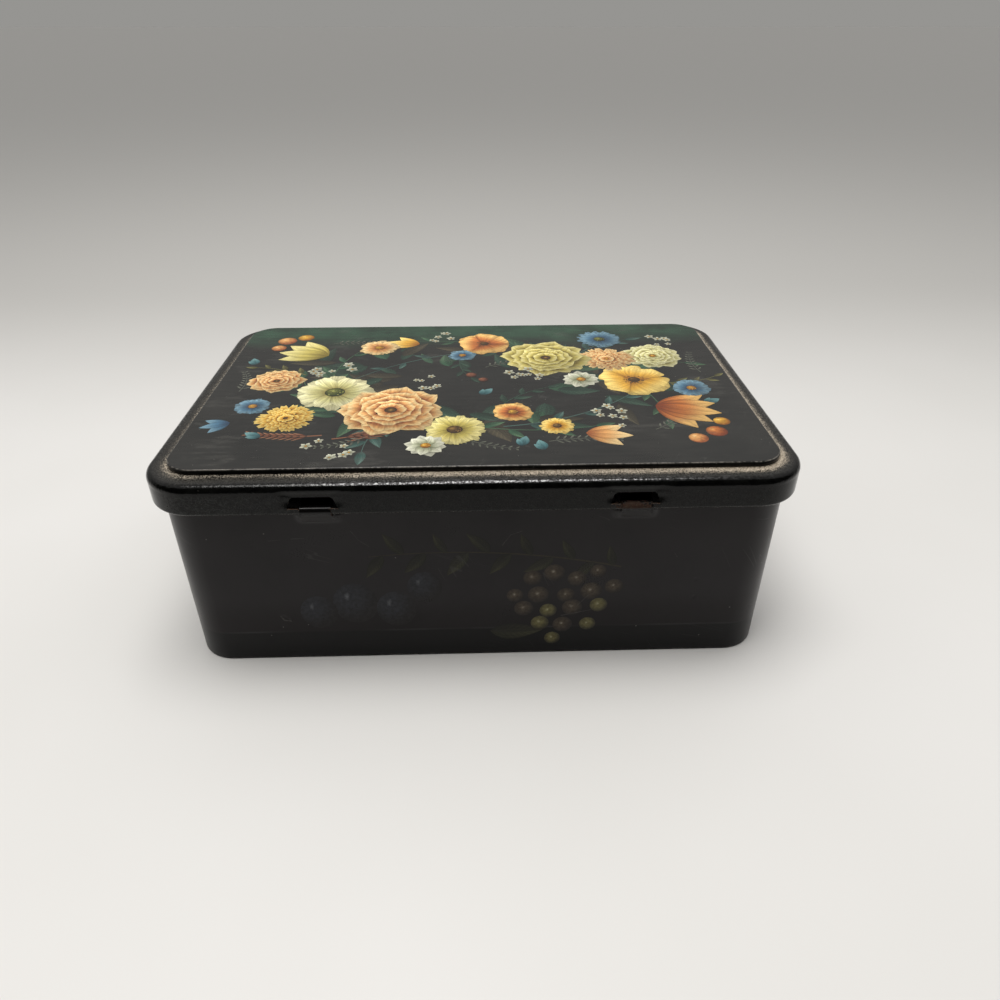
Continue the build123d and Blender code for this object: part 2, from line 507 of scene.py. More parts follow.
def bulge(away, up):
    """How far the wall is drawn out, away from a tongue's middle by so much and so far up."""
    drawn, beside = 0.0, away > tongue_edge + 0.05
    if up > slope_start[1]:
        drawn = (up - slope_start[1]) * tan(lean) + slope_start[0]
    elif up > root_z:
        drawn = tongue_bend - sqrt(max(0.0, tongue_bend**2 - (up - root_z) ** 2))
    share = 1 - smooth_step(away, tongue_edge, tongue_edge + bulge_side)
    if up > slit_z + slack:
        drawn = slit_out * (1 - smooth_step(up, slit_z, slit_z + bulge_fade)) * (1 - sprung_back)
        share *= beside
    elif beside:
        by_slit = smooth_step(up, slit_z - bulge_fade, slit_z)
        share *= 1 - sprung_back * by_slit * smooth_step(away, tongue_edge, tongue_edge + 0.4)
    return drawn * share


def wall_shape(station, out, up, row, side):
    """Where a point of the wall's section goes, with the bulges and the seam inside one short side."""
    x, y, a, b, _ = station
    if b == 1 and y > 0 and root_z - 1 < up < slit_z + bulge_fade:
        out += bulge(abs(near_window(x)[1]), up)
    upright = foot_bend < up < body_height - 2 * rim_radius and out > -0.6
    if a == 1 and upright and row >= len(rim_walk) - 1:
        if side == INSIDE and up > 1.9:
            out -= seam_height * (1 - smooth_step(abs(y), seam_edge, groove_place))
        if side == OUTSIDE and abs(y - groove_place) < 0.25:
            out -= groove_depth
    return x + a * out, y + b * out, up


def beside_hinge(k):
    """How far the middle of cell k is from the nearer hinge's middle, on the back."""
    x, _, _, b, _ = body_outline[k % len(body_outline)]
    x_next = body_outline[(k + 1) % len(body_outline)][0]
    return abs(near_window((x + x_next) / 2)[1]) if b == 1 else 99.0


def in_hole(r, k):
    return hole_rows[0] <= r < root_row and beside_hinge(k) < slot_edge


def at_tongue(r, k):
    return r == root_row and beside_hinge(k) < tongue_edge


wall_tin = SheetMesh()
wall_grids, wall_cut = wrap(
    wall_tin, body_outline, wall_outer, wall_inner, wall_shape, in_hole, welded=at_tongue
)
for k in range(len(body_outline)):
    wall_cut(0, k, 0, k + 1)
    wall_cut(len(wall_walk) - 1, k, len(wall_walk) - 1, k + 1)
print("wall sheet:", len(wall_tin.points), "points and", len(wall_tin.faces), "faces")

# %% [markdown]
# The tongue's section goes on from the top of the bulge: a straight slope and a tight curl round the lid's
# rolled edge. Hand-bent tongues are never quite flat, so the two get a slight hollow along the middle and
# an uneven edge each. The numbers that vary come from a seeded generator, so that every run gives the same
# tin.

# %% Hinge tongues
slope_top = hinge_z - curl_radius * sin(lean)
tongue_walk = walk(
    (slit_out - half, slit_z), 90 - degrees(lean),
    [
        ("run", (slope_top - slit_z) / cos(lean), 0.5),
        ("turn", curl_radius, tongue_curl),
    ],
    fine=14,
)
tongue_inner, tongue_outer = faces_of(tongue_walk)
uneven = Random(7)
sway_most, edge_lift = 0.05, 0.10  # how uneven the columns are, and how much the sides stand up


def add_tongue(middle):
    """Carries the wall's row at the slit on into one curled tongue."""
    columns = [
        k for k, s in enumerate(body_outline)
        if s[3] == 1 and abs(s[0] - middle) < tongue_edge + slack
    ]
    sway = [uneven.uniform(-sway_most, sway_most) for _ in columns]
    rows = [[[g[root_row][k] for k in columns] for g in wall_grids]]
    for r in range(1, len(tongue_walk)):
        pair = []
        for face in (tongue_outer, tongue_inner):
            out, up, gone = face[r]
            grown = smooth_step(gone, 0.0, 2.0)
            line = []
            for k, s in zip(columns, sway):
                x = body_outline[k][0]
                across = (x - middle) / tongue_edge
                proud = edge_lift * grown * abs(across) ** 3 + s * grown * (gone > 3)
                depth = body_back + out + 0.4 * max(0.0, proud)
                line.append(wall_tin.point(x, depth, up + 0.25 * proud))
            pair.append(line)
        rows.append(pair)

    def tongue_face(corners, side):
        """One face between corners (side of the sheet, row, column), with the lengths of its corners."""
        ring = [rows[r][which][c] for which, r, c in corners]
        flat = [(body_outline[columns[c]][4], tongue_walk[r][4]) for _, r, c in corners]
        wall_tin.face(ring, side, flat)

    last = len(rows) - 1
    for r in range(last):
        for c in range(len(columns) - 1):
            for side in (OUTSIDE, INSIDE):
                tongue_face(((side, r, c), (side, r, c + 1), (side, r + 1, c + 1), (side, r + 1, c)), side)
        for c in (0, len(columns) - 1):
            tongue_face(((0, r, c), (0, r + 1, c), (1, r + 1, c), (1, r, c)), CUT)
    for c in range(len(columns) - 1):
        tongue_face(((0, last, c), (0, last, c + 1), (1, last, c + 1), (1, last, c)), CUT)
    print("tongue at", middle, "mm:", last + 1, "rows of", len(columns), "points on each face")


for hinge in hinges:
    add_tongue(hinge)

# %% [markdown]
# ## Writing finishes as sums
#
# A finish is a tree of small nodes, and its maths reads best as maths. `Wire` stands for one output of a
# node. Adding, subtracting, multiplying or dividing wires places a Math node for each sign, so `1 - mask`
# is a node as well. `Finish` makes every other node with one method: its type, its settings and what goes
# in its sockets. Colours pass through Mix nodes only, because a Math node would turn them grey.

# %% Wires and finishes
class Wire:
    """One output of a node in a finish."""

    def __init__(self, finish, socket):
        self.finish, self.socket = finish, socket

    def sum(self, operation, *values):
        return self.finish.node("ShaderNodeMath", {"operation": operation}, dict(enumerate(values)))

    def __add__(self, other):
        return self.sum("ADD", self, other)

    __radd__ = __add__

    def __sub__(self, other):
        return self.sum("SUBTRACT", self, other)

    def __rsub__(self, other):
        return self.sum("SUBTRACT", other, self)

    def __mul__(self, other):
        return self.sum("MULTIPLY", self, other)

    __rmul__ = __mul__

    def __truediv__(self, other):
        return self.sum("DIVIDE", self, other)

    def __rtruediv__(self, other):
        return self.sum("DIVIDE", other, self)

    def __pow__(self, other):
        return self.sum("POWER", self, other)

    def __abs__(self):
        return self.sum("ABSOLUTE", self)

    def most(self, other):
        return self.sum("MAXIMUM", self, other)

    def least(self, other):
        return self.sum("MINIMUM", self, other)

    def rises(self, low, high):
        """0 below low and 1 above high, with a soft step between. A high below low turns it round."""
        ends = {"From Min": min(low, high), "From Max": max(low, high)}
        ends |= {"To Min": 0.0, "To Max": 1.0} if low < high else {"To Min": 1.0, "To Max": 0.0}
        return self.finish.node(
            "ShaderNodeMapRange", {"interpolation_type": "SMOOTHSTEP"}, {"Value": self, **ends}
        )


class Finish:
    """A material in the making."""

    def __init__(self, name, tree=None):
        self.name, self.material = name, None
        if tree is None:
            self.material = bpy.data.materials.new(name)
            self.material.use_nodes = True
            tree = self.material.node_tree
        self.tree = tree
        tree.nodes.clear()

    def node(self, kind, settings=None, values=None, out=0):
        made = self.tree.nodes.new(kind)
        for key, value in (settings or {}).items():
            setattr(made, key, value)
        for key, value in (values or {}).items():
            if isinstance(value, Wire):
                self.tree.links.new(value.socket, made.inputs[key])
            else:
                made.inputs[key].default_value = value
        return Wire(self, made.outputs[out])

    def place(self):
        """The point's place on the tin in metres, and the same as three wires in millimetres."""
        spot = self.node("ShaderNodeTexCoord", out="Object")
        return spot, *(
            self.node("ShaderNodeSeparateXYZ", {}, {0: spot}, out=axis) * 1000.0 for axis in ("X", "Y", "Z")
        )

    def stretch(self, spot, x, y, z):
        return self.node("ShaderNodeVectorMath", {"operation": "MULTIPLY"}, {0: spot, 1: (x, y, z)})

    def noise(self, spot, size, detail, rough=0.5):
        """Clouds whose lumps are about size millimetres wide."""
        values = {"Vector": spot, "Scale": 1000.0 / size, "Detail": detail, "Roughness": rough}
        return self.node("ShaderNodeTexNoise", {}, values, "Fac")

    def specks(self, spot, size, share, radius):
        """1 on small round specks, in a given share of cells of size millimetres."""
        cells = {"Vector": spot, "Scale": 1000.0 / size}
        near = self.node("ShaderNodeTexVoronoi", {}, cells, "Distance")
        cell_colour = self.node("ShaderNodeTexVoronoi", {}, cells, "Color")
        lot = self.node("ShaderNodeSeparateColor", {}, {0: cell_colour})
        return near.rises(radius, radius * 0.4) * lot.rises(1 - share, 1 - share + 0.001)

    def colour(self, under, over, share, blend="MIX"):
        """One colour over another, by a share from 0 to 1."""
        settings = {"data_type": "RGBA", "blend_type": blend}
        return self.node("ShaderNodeMix", settings, {0: share, 6: rgba(under), 7: rgba(over)}, out=2)

    def tinted(self, colour, tone):
        """A colour multiplied by a tone, channel by channel."""
        return self.colour(colour, tone, 1.0, "MULTIPLY")

    def surface(self, **sockets):
        """A Principled shader on the output. A name's underscores stand for the spaces in a socket's name."""
        values = {k.replace("_", " "): rgba(v) if "Color" in k else v for k, v in sockets.items()}
        shader = self.node("ShaderNodeBsdfPrincipled", {}, values)
        return self.output(shader)

    def output(self, shader, kind="ShaderNodeOutputMaterial"):
        end = self.tree.nodes.new(kind)
        self.tree.links.new(shader.socket, end.inputs["Surface"])
        print(f"{self.name}: {len(self.tree.nodes)} nodes")
        return self.material

    def bumps(self, height):
        """A normal from a height in millimetres."""
        return self.node("ShaderNodeBump", {}, {"Height": height, "Distance": MM, "Strength": 1.0})


def rgba(value):
    return (*value, 1.0) if isinstance(value, tuple) and len(value) == 3 else value


print("wires and finishes are ready")

# %% [markdown]
# ## Black lacquer
#
# The outside was printed flat, varnished in an oven and pressed afterwards. Varnish dries with a faint
# orange peel, the press leaves long soft waves, and years of handling add fine scratches, dust and rubbed
# edges. The pale lines along some edges are partly painted highlight, and the shade by the hinges is painted
# too. All of it is height and colour in one shader that reads the point's place on the tin, so the finish
# runs on from the wall to the tongues and from the lid to its print without a join.
#
# Waves and peel could be moved points as well. As a bump they cost nothing, and only the mirror image in
# the gloss tells the two apart.

# %% Heights that every lacquered face shares
def varnish_height(f, spot, peel):
    """Orange peel, press waves and fine grit, as a height in millimetres."""
    waves = f.noise(spot, 46.0, 1.0) * 0.16
    dimples = f.noise(spot, 9.0, 1.0) * 0.012
    skin = f.noise(spot, 1.3, 1.5) * peel
    grit = f.noise(spot, 0.34, 1.0) * peel * 0.25
    return waves + dimples + skin + grit


def scratches(f, spot, turn, size, width, share, drawn_out=(1.0, 0.04, 1.0)):
    """Thin straight marks as a mask, turned by three angles and drawn out along chosen axes."""
    settings = {"rotation_type": "EULER_XYZ"}
    turned = f.node("ShaderNodeVectorRotate", settings, {"Vector": spot, "Rotation": turn})
    long = f.stretch(turned, *drawn_out)
    line = abs(f.noise(long, size, 0.0) - 0.5).rises(width, 0.0)
    broken = f.noise(turned, 22.0, 1.0).rises(1 - share, 1.02 - share)
    return line * broken


def hinge_side(y):
    """1 on the side with the hinges and 0 elsewhere."""
    return y.rises(60.0, 70.0)


def smudges(f, spot):
    """Broad smears of handling, from 0 to 1, that dull the gloss."""
    return f.noise(spot, 19.0, 3.0).rises(0.30, 0.75)


def inset_from_skirt(x, y):
    """How far a point lies inside the lid's outer face, in millimetres, seen from above."""
    beyond_x = abs(x) - (lid_length / 2 - lid_corner)
    beyond_y = abs(y) - (lid_depth / 2 - lid_corner)
    round_part = (beyond_x.most(0.0) ** 2 + beyond_y.most(0.0) ** 2) ** 0.5
    return lid_corner - round_part - beyond_x.most(beyond_y).least(0.0)


def rust_mask(f, place):
    """Rust round the hinges: dark and patchy at -X, hardly any at +X."""
    spot, x, y, z = place
    grain = f.noise(spot, 1.1, 4.0, 0.62)

    def near(middle, reach, threshold):
        dx, dz = (x - middle) / reach, (z - hinge_z - 0.3) / (reach * 0.26)
        inside_wall, under_hem = y.rises(72.6, 72.0), y.rises(73.0, 73.4) * z.rises(70.3, 69.6)
        far = (dx * dx + dz * dz) ** 0.5 + inside_wall + under_hem
        eaten = (grain + 0.50 * far.rises(1.0, 0.1)).rises(threshold, threshold + 0.13)
        return eaten * far.rises(1.15, 0.85)

    return near(1.5 - hinge_offset, 12.5, 0.74).most(near(hinge_offset, 8.0, 1.10))


def rust_colour(f, spot):
    """Dark brown with a paler crust."""
    fine = f.noise(spot, 0.5, 2.0)
    crust = f.noise(spot, 0.45, 2.0, 0.7).rises(0.52, 0.66)
    brown = f.colour((0.026, 0.011, 0.007), (0.085, 0.038, 0.022), fine)
    return f.colour(brown, (0.135, 0.115, 0.080), crust * 0.6)


def lid_face(f, base, place):
    """Scuffs, crumbs and varnish over whatever colour lies on the raised panel."""
    spot = place[0]
    fine = f.noise(spot, 0.5, 2.0)
    crumbs = (f.specks(spot, 3.0, 0.14, 0.075) + f.specks(spot, 1.2, 0.03, 0.13)).least(1.0)
    base = f.colour(base, (0.36, 0.345, 0.31), crumbs * 0.6)
    wiped = f.noise(f.stretch(spot, 0.3, 1.0, 1.0), 3.0, 4.0, 0.65)
    smears = (wiped * f.noise(spot, 26.0, 1.0).rises(0.45, 0.70)).rises(0.42, 0.62)
    base = f.colour(base, (0.085, 0.082, 0.072), smears * 0.24)
    scuffs = scratches(f, spot, (0, 0, 0.5), 1.6, 0.012, 0.46)
    scuffs = scuffs + scratches(f, spot, (0, 0, -1.1), 2.3, 0.010, 0.42)
    base = f.colour(base, (0.10, 0.10, 0.09), scuffs.least(1.0) * 0.15)
    rough = 0.17 + 0.10 * smudges(f, spot) + 0.06 * fine
    height = varnish_height(f, spot, 0.007) + crumbs * 0.05 - scuffs * 0.003
    return f.surface(Base_Color=base, Roughness=rough, IOR=1.36, Normal=f.bumps(height))


print("peel, scratches, rust and the panel's face are ready")

# %% [markdown]
# The lid's ground is a very dark warm grey, brushed on from side to side, and the far part of the panel is
# washed with green. Dust has settled in the corner where the panel rises from the ledge. The panel's edge
# has a thin bright line that is partly rubbed wear and partly a painted highlight. Hands have polished the
# crest of the rim in small spots, which a thin clear coat with a patchy weight shows as a row of sparkles.
# The masks are distances from the skirt's face, because that is how dirt and fingers find their way round
# a lid.

# %% Lacquer on the lid
def lid_panel():
    """Raised panel: brushed ground, a green wash on the far side and an edge of wear and painted highlight.
    """
    f = Finish("lid_panel")
    place = spot, x, y, z = f.place()
    inset, broad = inset_from_skirt(x, y), f.noise(spot, 30.0, 3.0)
    brushed = f.noise(f.stretch(spot, 0.12, 1.0, 1.0), 1.6, 3.0, 0.6)
    streaky = (broad * 0.6 + brushed * 0.6).rises(0.42, 0.82)
    ground = f.colour((0.0085, 0.0085, 0.0075), (0.0190, 0.0182, 0.0160), streaky)
    leafy = (f.noise(spot, 16.0, 3.0) * 0.7 + brushed * 0.4).rises(0.38, 0.72)
    green = f.colour((0.010, 0.026, 0.015), (0.026, 0.072, 0.040), leafy)
    wash = (-1 * y + 16.0 * (broad - 0.5)).rises(38.0, 58.0)
    base = f.colour(ground, green, wash)
    edge = inset.rises(ledge_width, ledge_width + 0.18) * inset.rises(ledge_width + 0.65, ledge_width + 0.35)
    edge = edge * z.rises(panel_top - 0.45, panel_top - 0.2)
    # The panel's thin edge line is partly rubbed wear and partly a painted highlight of the overhead light.
    edge_wear_and_highlight = edge * (f.noise(spot, 1.2, 2.0) * 0.7 + f.noise(spot, 14.0, 2.0) * 0.6).rises(0.52, 0.78)
    base = f.colour(base, (0.30, 0.275, 0.24), edge_wear_and_highlight * 0.6)
    return lid_face(f, base, place)


def lid_lacquer():
    """Ledge, rounded edge, skirt and hem: gloss, ledge dust, and a hem line of wear and painted highlight."""
    f = Finish("lid_lacquer")
    place = spot, x, y, z = f.place()
    inset = inset_from_skirt(x, y)
    broad, small, fine = f.noise(spot, 30.0, 3.0), f.noise(spot, 2.6, 3.0), f.noise(spot, 0.5, 2.0)
    base = f.colour((0.0016, 0.0016, 0.0015), (0.0048, 0.0050, 0.0044), small.rises(0.35, 0.75))
    by_window = abs(abs(x) - hinge_offset).rises(16.0, 8.0) * hinge_side(y)
    worn = (small * 0.3 + fine * 0.3 + broad * 0.5 + 0.12 * by_window).rises(0.40, 0.66)
    # The pale line along the hem's lower edge is partly wear and partly a painted highlight of the table.
    hem_wear_and_highlight = z.rises(hinge_z - 0.4, hinge_z - 1.0) * inset.rises(1.9, 1.1) * (0.2 + 0.8 * worn)
    base = f.colour(base, (0.150, 0.142, 0.128), hem_wear_and_highlight * (0.45 + 0.3 * by_window))
    mottled = (f.noise(spot, 0.62, 2.0, 0.7) * 0.65 + f.noise(spot, 1.5, 2.0, 0.6) * 0.35).rises(0.42, 0.64)
    bloom = mottled * z.rises(skirt_start, skirt_start - 1.5)
    skirt_bloom = 0.17 + 0.30 * broad + 0.60 * x.rises(45.0, 95.0) + 0.05 * x.rises(-60.0, -100.0)
    base = f.colour(base, (0.034, 0.036, 0.034), skirt_bloom * bloom)

    corner = abs(x).rises(84.0, 104.0) * abs(y).rises(44.0, 66.0)
    on_ledge = z.rises(ledge_top - 0.5, ledge_top - 0.1) * z.rises(ledge_top + 0.45, ledge_top + 0.2)
    along = f.noise(f.stretch(spot, 0.25, 0.25, 1.0), 5.0, 3.0).rises(0.30, 0.70)
    busy = 0.36 + 0.42 * x.rises(72.0, 16.0) + 0.22 * along + corner * (0.07 + 0.05 * x.rises(0.0, -60.0))
    grains = (f.noise(spot, 0.62, 2.0, 0.7) * 0.45 + f.noise(spot, 0.34, 1.0, 0.6) * 0.55).rises(0.42, 0.58)
    drift = x.rises(40.0, 75.0) * (0.35 + 0.65 * x.rises(103.0, 90.0))
    lying = (inset - 1.3 * drift).rises(3.2, 7.1) * (busy + 0.08 * drift) + 0.56 * (grains - 0.5)
    dust = on_ledge * lying.rises(0.22, 0.90)
    film = on_ledge * inset.rises(1.5, 4.0) * (0.30 + 0.70 * grains)
    base = f.colour(base, (0.120, 0.112, 0.098), film * 0.30)
    base = f.colour(base, f.colour((0.24, 0.195, 0.145), (0.60, 0.52, 0.41), grains), dust * 0.95)
    crumbs = f.specks(spot, 1.8, 0.10, 0.10) * (0.2 + 0.8 * film.most(dust))
    base = f.colour(base, (0.50, 0.46, 0.40), crumbs * 0.8)

    rust = rust_mask(f, place)
    base = f.colour(base, rust_colour(f, spot), rust)
    rough = 0.08 + 0.06 * smudges(f, spot) + 0.03 * fine + 0.34 * film + 0.55 * dust.most(rust)
    on_rim = inset.rises(7.2, 3.4) * z.rises(skirt_start - 1.0, skirt_start + 0.6)
    lumps = (f.noise(spot, 0.95, 2.0, 0.55) * 0.10 + f.noise(spot, 2.4, 1.0) * 0.10) * on_rim
    height = varnish_height(f, spot, 0.014) + lumps + grains * (dust * 0.05 + film * 0.02)
    height = height + rust * fine * 0.12 + crumbs * 0.05
    crest = inset.rises(0.8, 1.2) * inset.rises(3.2, 2.4) * z.rises(ledge_top - 2.0, ledge_top - 1.4)
    gripped = 0.15 + 0.85 * abs(x + 12.0).rises(84.0, 52.0).most(abs(y).rises(62.0, 40.0))
    sparks = f.noise(f.stretch(spot, 0.8, 0.8, 1.6), 0.70, 2.0, 0.65).rises(0.47, 0.63)
    return f.surface(
        Base_Color=base, Roughness=rough.least(0.95), IOR=1.27, Normal=f.bumps(height),
        Coat_Weight=crest * gripped * sparks, Coat_IOR=1.8, Coat_Roughness=0.12,
    )

# %% [markdown]
# The wall's lacquer is softer than the lid's and its mirror image is weaker. A darker band runs round the
# foot, where the printed picture stops, and above it the face gets slowly paler up to the lid. Knocks have
# left four shallow dents, a small scuff with two legs and some fine scratches on the back. A dent is a bowl
# in the height, placed by its distance from one point, and a scratch is a mask round the line between two
# points. Both could be painted on a picture by hand, but as numbers they stay sharp at any size and are
# easy to move.

# %% Lacquer on the wall
band_top = 13.4  # where the darker band at the foot ends
tongue_out, tongue_up = (72.75, 73.3), (skirt_bottom, 69.9)  # past these only a tongue is left

dents = (  # x, z, radius and depth, on the back
    (-80.5, 35.5, 1.5, 0.10), (-80.8, 27.0, 1.4, 0.12), (73.5, 21.0, 1.7, 0.16), (71.8, 19.6, 1.2, 0.12),
)
nicks = (  # both ends as (x, z), and half the width
    ((73.5, 56.2), (69.2, 56.6), 0.10), ((65.5, 56.9), (61.0, 57.0), 0.10),
    ((44.5, 60.0), (42.0, 55.8), 0.09), ((42.0, 55.8), (38.8, 53.2), 0.09),
    ((-8.5, 52.5), (-11.5, 57.0), 0.10), ((-11.5, 57.0), (-15.5, 58.6), 0.09),
    ((74.5, 21.2), (73.5, 19.4), 0.26), ((73.5, 19.4), (71.2, 18.9), 0.22),
    ((-37.0, 24.0), (-41.0, 29.0), 0.12), ((-72.0, 46.0), (-71.0, 47.6), 0.12),
    ((-31.0, 19.0), (-42.0, 21.5), 0.12),
)


def nick(x, z, start, end, width):
    """A straight mark between two places on the back, as a mask that fades at its sides."""
    (x0, z0), (x1, z1) = start, end
    size = (x1 - x0) ** 2 + (z1 - z0) ** 2
    share = (((x - x0) * (x1 - x0) + (z - z0) * (z1 - z0)) / size).most(0.0).least(1.0)
    dx, dz = x - x0 - share * (x1 - x0), z - z0 - share * (z1 - z0)
    return ((dx * dx + dz * dz) ** 0.5).rises(width * 2.0, width * 0.5)


def bowl(x, z, at_x, at_z, radius, depth):
    """A shallow round hollow, as a depth in millimetres."""
    away = (((x - at_x) / radius) ** 2 + ((z - at_z) / radius) ** 2) ** 0.5
    return away.rises(1.0, 0.0) * depth


def wall_face(f, base, place):
    """Scratches, bits, rust, dents, painted shade and sheen by the hinges, and varnish on the wall."""
    spot, x, y, z = place
    behind, by_tongue = hinge_side(y), abs(abs(x) - hinge_offset)
    small, fine = f.noise(spot, 2.2, 3.0), f.noise(spot, 0.45, 2.0)
    base = f.colour(base, (0.22, 0.21, 0.19), f.specks(spot, 5.0, 0.10, 0.07) * 0.5)
    upright = (0.05, 0.05, 1.0)
    marks = scratches(f, spot, (0.35, 0.30, 0.0), 2.6, 0.010, 0.36, upright)
    marks = marks + scratches(f, spot, (-0.9, 0.8, 0.0), 3.4, 0.008, 0.34, upright)
    base = f.colour(base, (0.075, 0.073, 0.070), marks.least(1.0) * 0.32)
    single = reduce(Wire.most, (nick(x, z, *mark) for mark in nicks))
    single = single * behind * (0.35 + 0.65 * small.rises(0.40, 0.60))
    base = f.colour(base, (0.110, 0.106, 0.098), single * 0.42)
    # The tongue's slope below the skirt is painted paler: a painted sheen of the table's reflection, with
    # dust.
    tongue_slope_sheen_and_dust = y.rises(72.9, 73.6) * z.rises(tongue_up[1], tongue_up[0]) * by_tongue.rises(9.0, 5.0)
    base = f.colour(base, (0.036, 0.035, 0.035), tongue_slope_sheen_and_dust * 0.8)
    # The tongue's curl is painted nearly black: painted shade where it runs up into the window.
    on_tongue = y.rises(*tongue_out) * z.rises(*tongue_up)
    base = f.colour(base, (0.0040, 0.0036, 0.0035), on_tongue)
    rust = rust_mask(f, place)
    base = f.colour(base, rust_colour(f, spot), rust * 0.8)
    # Behind the skirt round each tongue's hole the wall is painted black: painted shade in that recess.
    shade_by_hole = by_tongue.rises(14.5, 9.0) * z.rises(69.0, 70.4) * z.rises(77.6, 74.2)
    painted_hinge_shade = shade_by_hole * behind * y.rises(72.75, 72.6)
    base = f.colour(base, (0.0010, 0.0009, 0.0009), painted_hinge_shade)
    hollows = sum(bowl(x, z, *dent) for dent in dents) * behind
    rough = 0.25 + 0.10 * f.noise(spot, 24.0, 3.0).rises(0.3, 0.75) + 0.05 * fine
    rough = rough * (1.0 - 0.25 * on_tongue) + 0.45 * rust.most(painted_hinge_shade * 1.5)
    height = varnish_height(f, spot, 0.005) - hollows - marks * 0.004 - single * 0.02 + rust * small * 0.10
    return f.surface(Base_Color=base, Roughness=rough.least(0.95), IOR=1.30, Normal=f.bumps(height))


def wall_lacquer():
    """The printed ground of the wall, with its darker foot and the line between the two."""
    f = Finish("wall_lacquer")
    place = spot, _, _, z = f.place()
    broad, small = f.noise(spot, 34.0, 3.0), f.noise(spot, 2.2, 3.0)
    upper = f.colour((0.0154, 0.0128, 0.0143), (0.0200, 0.0172, 0.0182), z.rises(40.0, 64.0))
    upper = f.colour(upper, (0.0078, 0.0052, 0.0061), z.rises(32.0, 19.0))
    base = f.colour((0.0018, 0.0014, 0.0018), upper, z.rises(band_top - 0.4, band_top + 0.4))
    base = f.colour(base, f.tinted(base, (0.44, 0.42, 0.44)), broad.rises(0.45, 0.75) * 0.6)
    line = z.rises(band_top - 0.6, band_top) * z.rises(band_top + 0.8, band_top + 0.2)
    line = line * f.noise(f.stretch(spot, 0.3, 0.3, 1.0), 12.0, 2.0).rises(0.42, 0.62)
    base = f.colour(base, (0.040, 0.040, 0.040), line * 0.5)
    rub = z.rises(1.3, 0.5) * small.rises(0.40, 0.70)
    base = f.colour(base, (0.10, 0.095, 0.085), rub * 0.5)
    return wall_face(f, base, place)


print(len(dents), "dents and", len(nicks), "single scratches on the back of the wall")

# %% [markdown]
# ## Bare tinplate
#
# The inside was never printed. Tin is a soft grey metal with a warm cast, and the mill's rollers leave fine
# straight lines in it. Those lines follow the flat sheet, so they read the lengths that each corner kept,
# and they bend with the roll. Small brown specks are rust that came through pinholes in the tin.

# %% Tinplate and cut edges
def tinplate(name, flat=None):
    """Bare tin. Its rolling lines follow a map of the flat sheet where there is one."""
    f = Finish(name)
    spot, x, y, z = f.place()
    along = f.node("ShaderNodeUVMap", {"uv_map": flat}) if flat else spot
    lines = f.noise(f.stretch(along, 0.035, 1.0, 1.0), 0.5, 2.0)
    cloud, fine = f.noise(spot, 21.0, 4.0), f.noise(spot, 0.6, 2.0)
    metal = f.colour((0.50, 0.475, 0.43), (0.66, 0.64, 0.60), (lines * 0.6 + cloud * 0.5).rises(0.35, 0.75))
    stained = f.noise(spot, 33.0, 5.0, 0.6).rises(0.55, 0.75)
    metal = f.colour(metal, (0.44, 0.37, 0.26), stained * 0.35)
    pin = (f.specks(spot, 4.6, 0.10, 0.10) + f.specks(spot, 1.9, 0.025, 0.16)).least(1.0)
    beside_foot = (body_depth / 2 - abs(y)).least(body_length / 2 - abs(x))
    damp = beside_foot.rises(9.0, 3.4) * z.rises(7.0, 1.0)
    rust = pin.most((fine * 0.45 + cloud * 0.45 + 0.42 * damp).rises(0.70, 0.92) * 0.75)
    metal = f.colour(metal, (0.15, 0.070, 0.034), rust)
    # Round the hinges the tin is painted nearly black and dull: painted shade inside the hem and the curls.
    painted_hinge_shade = abs(abs(x) - hinge_offset).rises(13.0, 10.5) * y.rises(72.5, 73.2)
    painted_hinge_shade = painted_hinge_shade * z.rises(slit_z - 0.6, slit_z + 0.4) * z.rises(74.5, 73.0)
    rust, metal = rust.most(painted_hinge_shade), f.colour(metal, (0.016, 0.013, 0.011), painted_hinge_shade)
    rough = (0.36 + 0.12 * lines + 0.14 * stained + 0.40 * rust).least(0.95)
    height = lines * 0.004 + f.noise(spot, 30.0, 1.0) * 0.12 + rust * fine * 0.03
    return f.surface(Base_Color=metal, Metallic=1.0 - rust, Roughness=rough, Normal=f.bumps(height))


def cut_steel():
    """The sheet's cut edges, grey steel that has begun to rust."""
    f = Finish("cut_steel")
    spot = f.place()[0]
    grain, small = f.noise(spot, 0.5, 3.0), f.noise(spot, 2.5, 2.0)
    brown = f.colour((0.10, 0.045, 0.022), (0.20, 0.11, 0.06), grain)
    base = f.colour((0.16, 0.15, 0.14), brown, (grain * 0.5 + small * 0.6).rises(0.42, 0.66))
    return f.surface(Base_Color=base, Metallic=0.3, Roughness=0.5 + 0.3 * grain, Normal=f.bumps(grain * 0.02))


black_lid, black_panel, black_wall, steel = lid_lacquer(), lid_panel(), wall_lacquer(), cut_steel()
inside_tin = tinplate("inside_tin", "flat_sheet")
lid_piece = lid_tin.make("lid_sheet", [black_lid, inside_tin, steel, black_panel])
PANEL = 3
for face in lid_piece.data.polygons:
    if face.material_index == OUTSIDE and face.center.z > (panel_top - 0.75) * MM:
        face.material_index = PANEL
wall_piece = wall_tin.make("wall_sheet", [black_wall, inside_tin, steel])
for piece, body, node, slot in (
    (lid_piece, "lid", "lid", "lid_tin"),
    (wall_piece, "box", "body_wall", "body_tin"),
):
    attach(piece, body)
    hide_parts(node)
bottom = frame["nodes"]["bottom_panel"]
bottom.data.materials.clear()
bottom.data.materials.append(tinplate("bottom_tin"))

